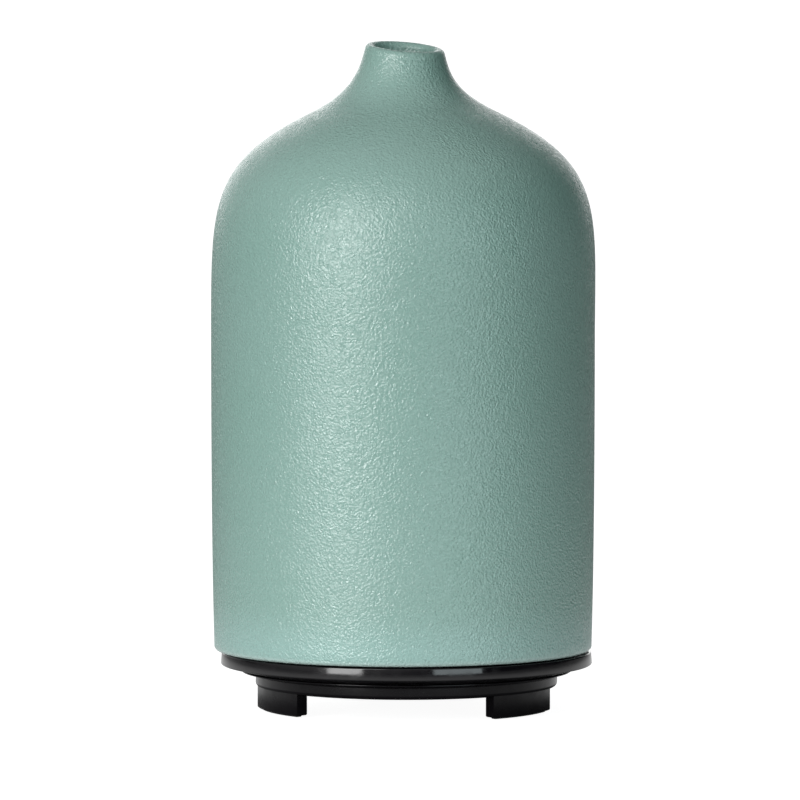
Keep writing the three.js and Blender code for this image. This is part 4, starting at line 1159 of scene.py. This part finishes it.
def build_connectors():
    """Two-way pin sockets: one faces up from the board, the fan's faces down."""
    wall, floor, past, margin = 0.0006, 0.0009, 0.001, 0.0005
    for node, down in (("transducer_connector", False), ("fan_connector", True)):
        low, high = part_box(node)
        centre = middle(node)
        mouth_low = low[2] - past if down else low[2] + floor
        mouth_high = high[2] - floor if down else high[2] + past
        mouth = rounded_box((low[0] + wall, low[1] + wall, mouth_low),
                            (high[0] - wall, high[1] - wall, mouth_high), 0.0002, 1)
        parts = [carved(rounded_box(low, high, 0.0003, 2), (), [mouth])]
        for side in (-1, 1):
            parts.append(pin(centre.x + side * 0.00125, centre.y, low[2] + margin, high[2] - margin))
        stand_for(node, joined(parts), "cream", "tin")


def build_lamps():
    """The two lamps, each a clear domed lens, and the windows above them."""
    for _, word in SIDES:
        low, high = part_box("led_" + word)
        centre, radius = middle("led_" + word), (high[1] - low[1]) / 2
        lens = [(0, low[2]), (radius - 0.0001, low[2]), (radius, low[2] + 0.0001), (radius, low[2] + 0.001),
                (radius - 0.0002, low[2] + 0.0012)]
        lens += arc(0, high[2] - radius, radius - 0.0002, 0, 90, 16)
        lens = moved(turned(lens, 48), centre.x, centre.y)
        stand_for("led_" + word, lens, "clear")
        low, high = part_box("led_window_" + word)
        centre, radius = middle("led_window_" + word), (high[1] - low[1]) / 2
        pane = [(0, low[2]), (radius - 0.0003, low[2]), (radius, low[2] + 0.0003), (radius, high[2] - 0.0004)]
        pane += corner(radius, high[2], 0.0004, 0, 5) + [(0, high[2])]
        pane = moved(turned(pane, 48), centre.x, centre.y)
        stand_for("led_window_" + word, pane, "clear")


def build_wires():
    """Insulated leads along routes listed here in millimetres, red to the left and black to the right."""
    for number, side, look in ((1, -1, "wire_red"), (2, 1, "wire_black")):
        routes_mm = {
            "transducer_lead": (0.0006, [(2.4 * side, 0, 37.9), (2.4 * side, -1, 34), (2 * side, -10, 32.2),
                                         (1.6 * side, -19, 32.6), (1.6 * side, -22, 30.6)]),
            "fan_lead": (0.0005, [(-14.5 + 0.8 * side, -9, 19.2), (-14.5 + 0.8 * side, -6, 21.4),
                                  (-14.5 + 0.8 * side, -2.9, 22)]),
            "power_lead": (0.0007, [(2 * side, 21.6, 6.6), (2.4 * side, 20.9, 10.6), (4 * side, 19, 17),
                                    (4 * side, 18.6, 23.6)]),
        }
        for name, (radius, route) in routes_mm.items():
            path = spline([Vector(point) / 1000 for point in route])
            stand_for(f"{name}_{number}", tube(path, radius, 16), look)


# ---------------------------------------------------------------- camera, stage and lights


def direction(azimuth, elevation=0.0):
    a, e = math.radians(azimuth), math.radians(elevation)
    return Vector((math.sin(a) * math.cos(e), -math.cos(a) * math.cos(e), math.sin(e)))


def build_camera():
    data = bpy.data.cameras.new("camera")
    data.sensor_width = SENSOR_WIDTH
    distance = math.hypot(CAMERA_DISTANCE, CAMERA_HEIGHT - AIM_HEIGHT)
    data.lens = SENSOR_WIDTH * distance / FRAME_WIDTH
    data.clip_end = 50.0
    camera = bpy.data.objects.new("camera", data)
    bpy.context.scene.collection.objects.link(camera)
    across = direction(VIEW_AZIMUTH + 90)
    aim = Vector((0, 0, AIM_HEIGHT)) + across * AIM_SHIFT
    place = direction(VIEW_AZIMUTH) * CAMERA_DISTANCE + across * AIM_SHIFT
    place.z = CAMERA_HEIGHT
    camera.location = place
    camera.rotation_euler = (aim - place).to_track_quat("-Z", "Y").to_euler()
    bpy.context.scene.camera = camera


def softbox(name, azimuth, distance, height, width, tall, radiance):
    """An upright area light facing the object; azimuth is counted from the camera's, to the right."""
    data = bpy.data.lights.new(name, "AREA")
    data.shape = "RECTANGLE"
    data.size = width
    data.size_y = tall
    data.energy = radiance * math.pi * width * tall
    light = bpy.data.objects.new(name, data)
    bpy.context.scene.collection.objects.link(light)
    place = direction(VIEW_AZIMUTH + azimuth) * distance
    place.z = height
    light.location = place
    light.rotation_euler = (Vector((0, 0, 0.08)) - place).to_track_quat("-Z", "Y").to_euler()
    return data


def build_floor():
    """A pale sweep, overexposed from above, with a soft glow on the floor under and round the object that
    lights it from below, taken away right next to its base as a painted shadow; clear from below.
    """
    mesh = bpy.data.meshes.new("floor")
    half, height = 12.0, -0.0002
    corners = [(-half, -half, height), (half, -half, height), (half, half, height), (-half, half, height)]
    mesh.from_pydata(corners, [], [(0, 1, 2, 3)])
    floor = bpy.data.objects.new("floor", mesh)
    bpy.context.scene.collection.objects.link(floor)
    shader = Shader("pale_floor", (0.3, 0.3, 0.3), 0.9)
    distance = shader.node("VectorMath", {0: shader.place}, "Value", operation="LENGTH")
    glow = 0.58
    around = shader.ramp(distance, 0.1, 0.35, glow, 0.0)
    # Painted shadow: the glow is taken away within 45 to 75 mm of the centre, standing in for the shade
    # beside the base.
    under = shader.ramp(distance, 0.045, 0.075, 1.0, 0.0)
    seen = shader.node("LightPath", {}, "Is Camera Ray")
    strength = shader.node("Mix", {"Factor": seen, 2: shader.add(around, under, -glow), 3: BACKDROP}, 0)
    shader.link(strength, shader.principled.inputs["Emission Strength"])
    shader.set("Emission Color", (1, 1, 1, 1))
    clear = shader.node("BsdfTransparent", {}, 0)
    from_below = shader.node("NewGeometry", {}, "Backfacing")
    surface = shader.node("MixShader", {0: from_below, 1: shader.principled.outputs[0], 2: clear}, 0)
    shader.link(surface, shader.tree.nodes["Material Output"].inputs["Surface"])
    mesh.materials.append(shader.finish())


def build_world():
    """A dim room with a bright backdrop behind the object; the camera sees it as plain and pale."""
    world = bpy.data.worlds.new("studio")
    bpy.context.scene.world = world
    world.use_nodes = True
    tree = world.node_tree
    towards = add_node(tree, "TexCoord", {}, "Generated")
    total = None
    for facing, low, high, bright in (
        (-direction(VIEW_AZIMUTH), 0.87, 0.98, 1.7),
        (direction(VIEW_AZIMUTH - 155), 0.8, 0.95, 0.48),
        (direction(VIEW_AZIMUTH - 50, 60), 0.1, 0.8, 0.54),
    ):
        dot = add_node(tree, "VectorMath", {0: towards, 1: facing}, "Value", operation="DOT_PRODUCT")
        lit = add_ramp(tree, dot, low, high, 0.0, bright)
        total = add_node(tree, "Math", {0: total, 1: lit}, 0) if total else lit
    seen = add_node(tree, "LightPath", {}, "Is Camera Ray")
    strength = add_node(tree, "Mix", {"Factor": seen, 2: total, 3: BACKDROP}, 0)
    background = tree.nodes["Background"]
    tree.links.new(strength, background.inputs["Strength"])
    background.inputs["Color"].default_value = (1, 1, 1, 1)


def build_stage():
    build_camera()
    build_floor()
    build_world()
    softbox("key_high", -26, 0.9, 0.65, 0.35, 0.3, 4.6)
    softbox("key_middle", -38, 0.9, 0.35, 0.35, 0.3, 6.2)
    softbox("key_low", -38, 0.9, 0.12, 0.35, 0.3, 7.4)
    softbox("fill", 32, 2.2, 0.2, 1.2, 1.0, 2.9).color = (0.88, 1.0, 1.03)
    scene = bpy.context.scene
    scene.view_settings.view_transform = "Standard"
    scene.view_settings.look = "None"


def main():
    FINISHES.update(all_materials())
    build_stage()
    for build in (build_cover, build_lid, build_upper_housing, build_lower_housing, build_foot_pads,
                  build_buttons, build_dc_jack, build_screws, build_transducer, build_fan_frame,
                  build_fan_rotor, build_fan_motor, build_main_board, build_control_board, build_chip,
                  build_inductors, build_capacitor, build_power_stage, build_connectors, build_lamps,
                  build_wires):
        build()


main()
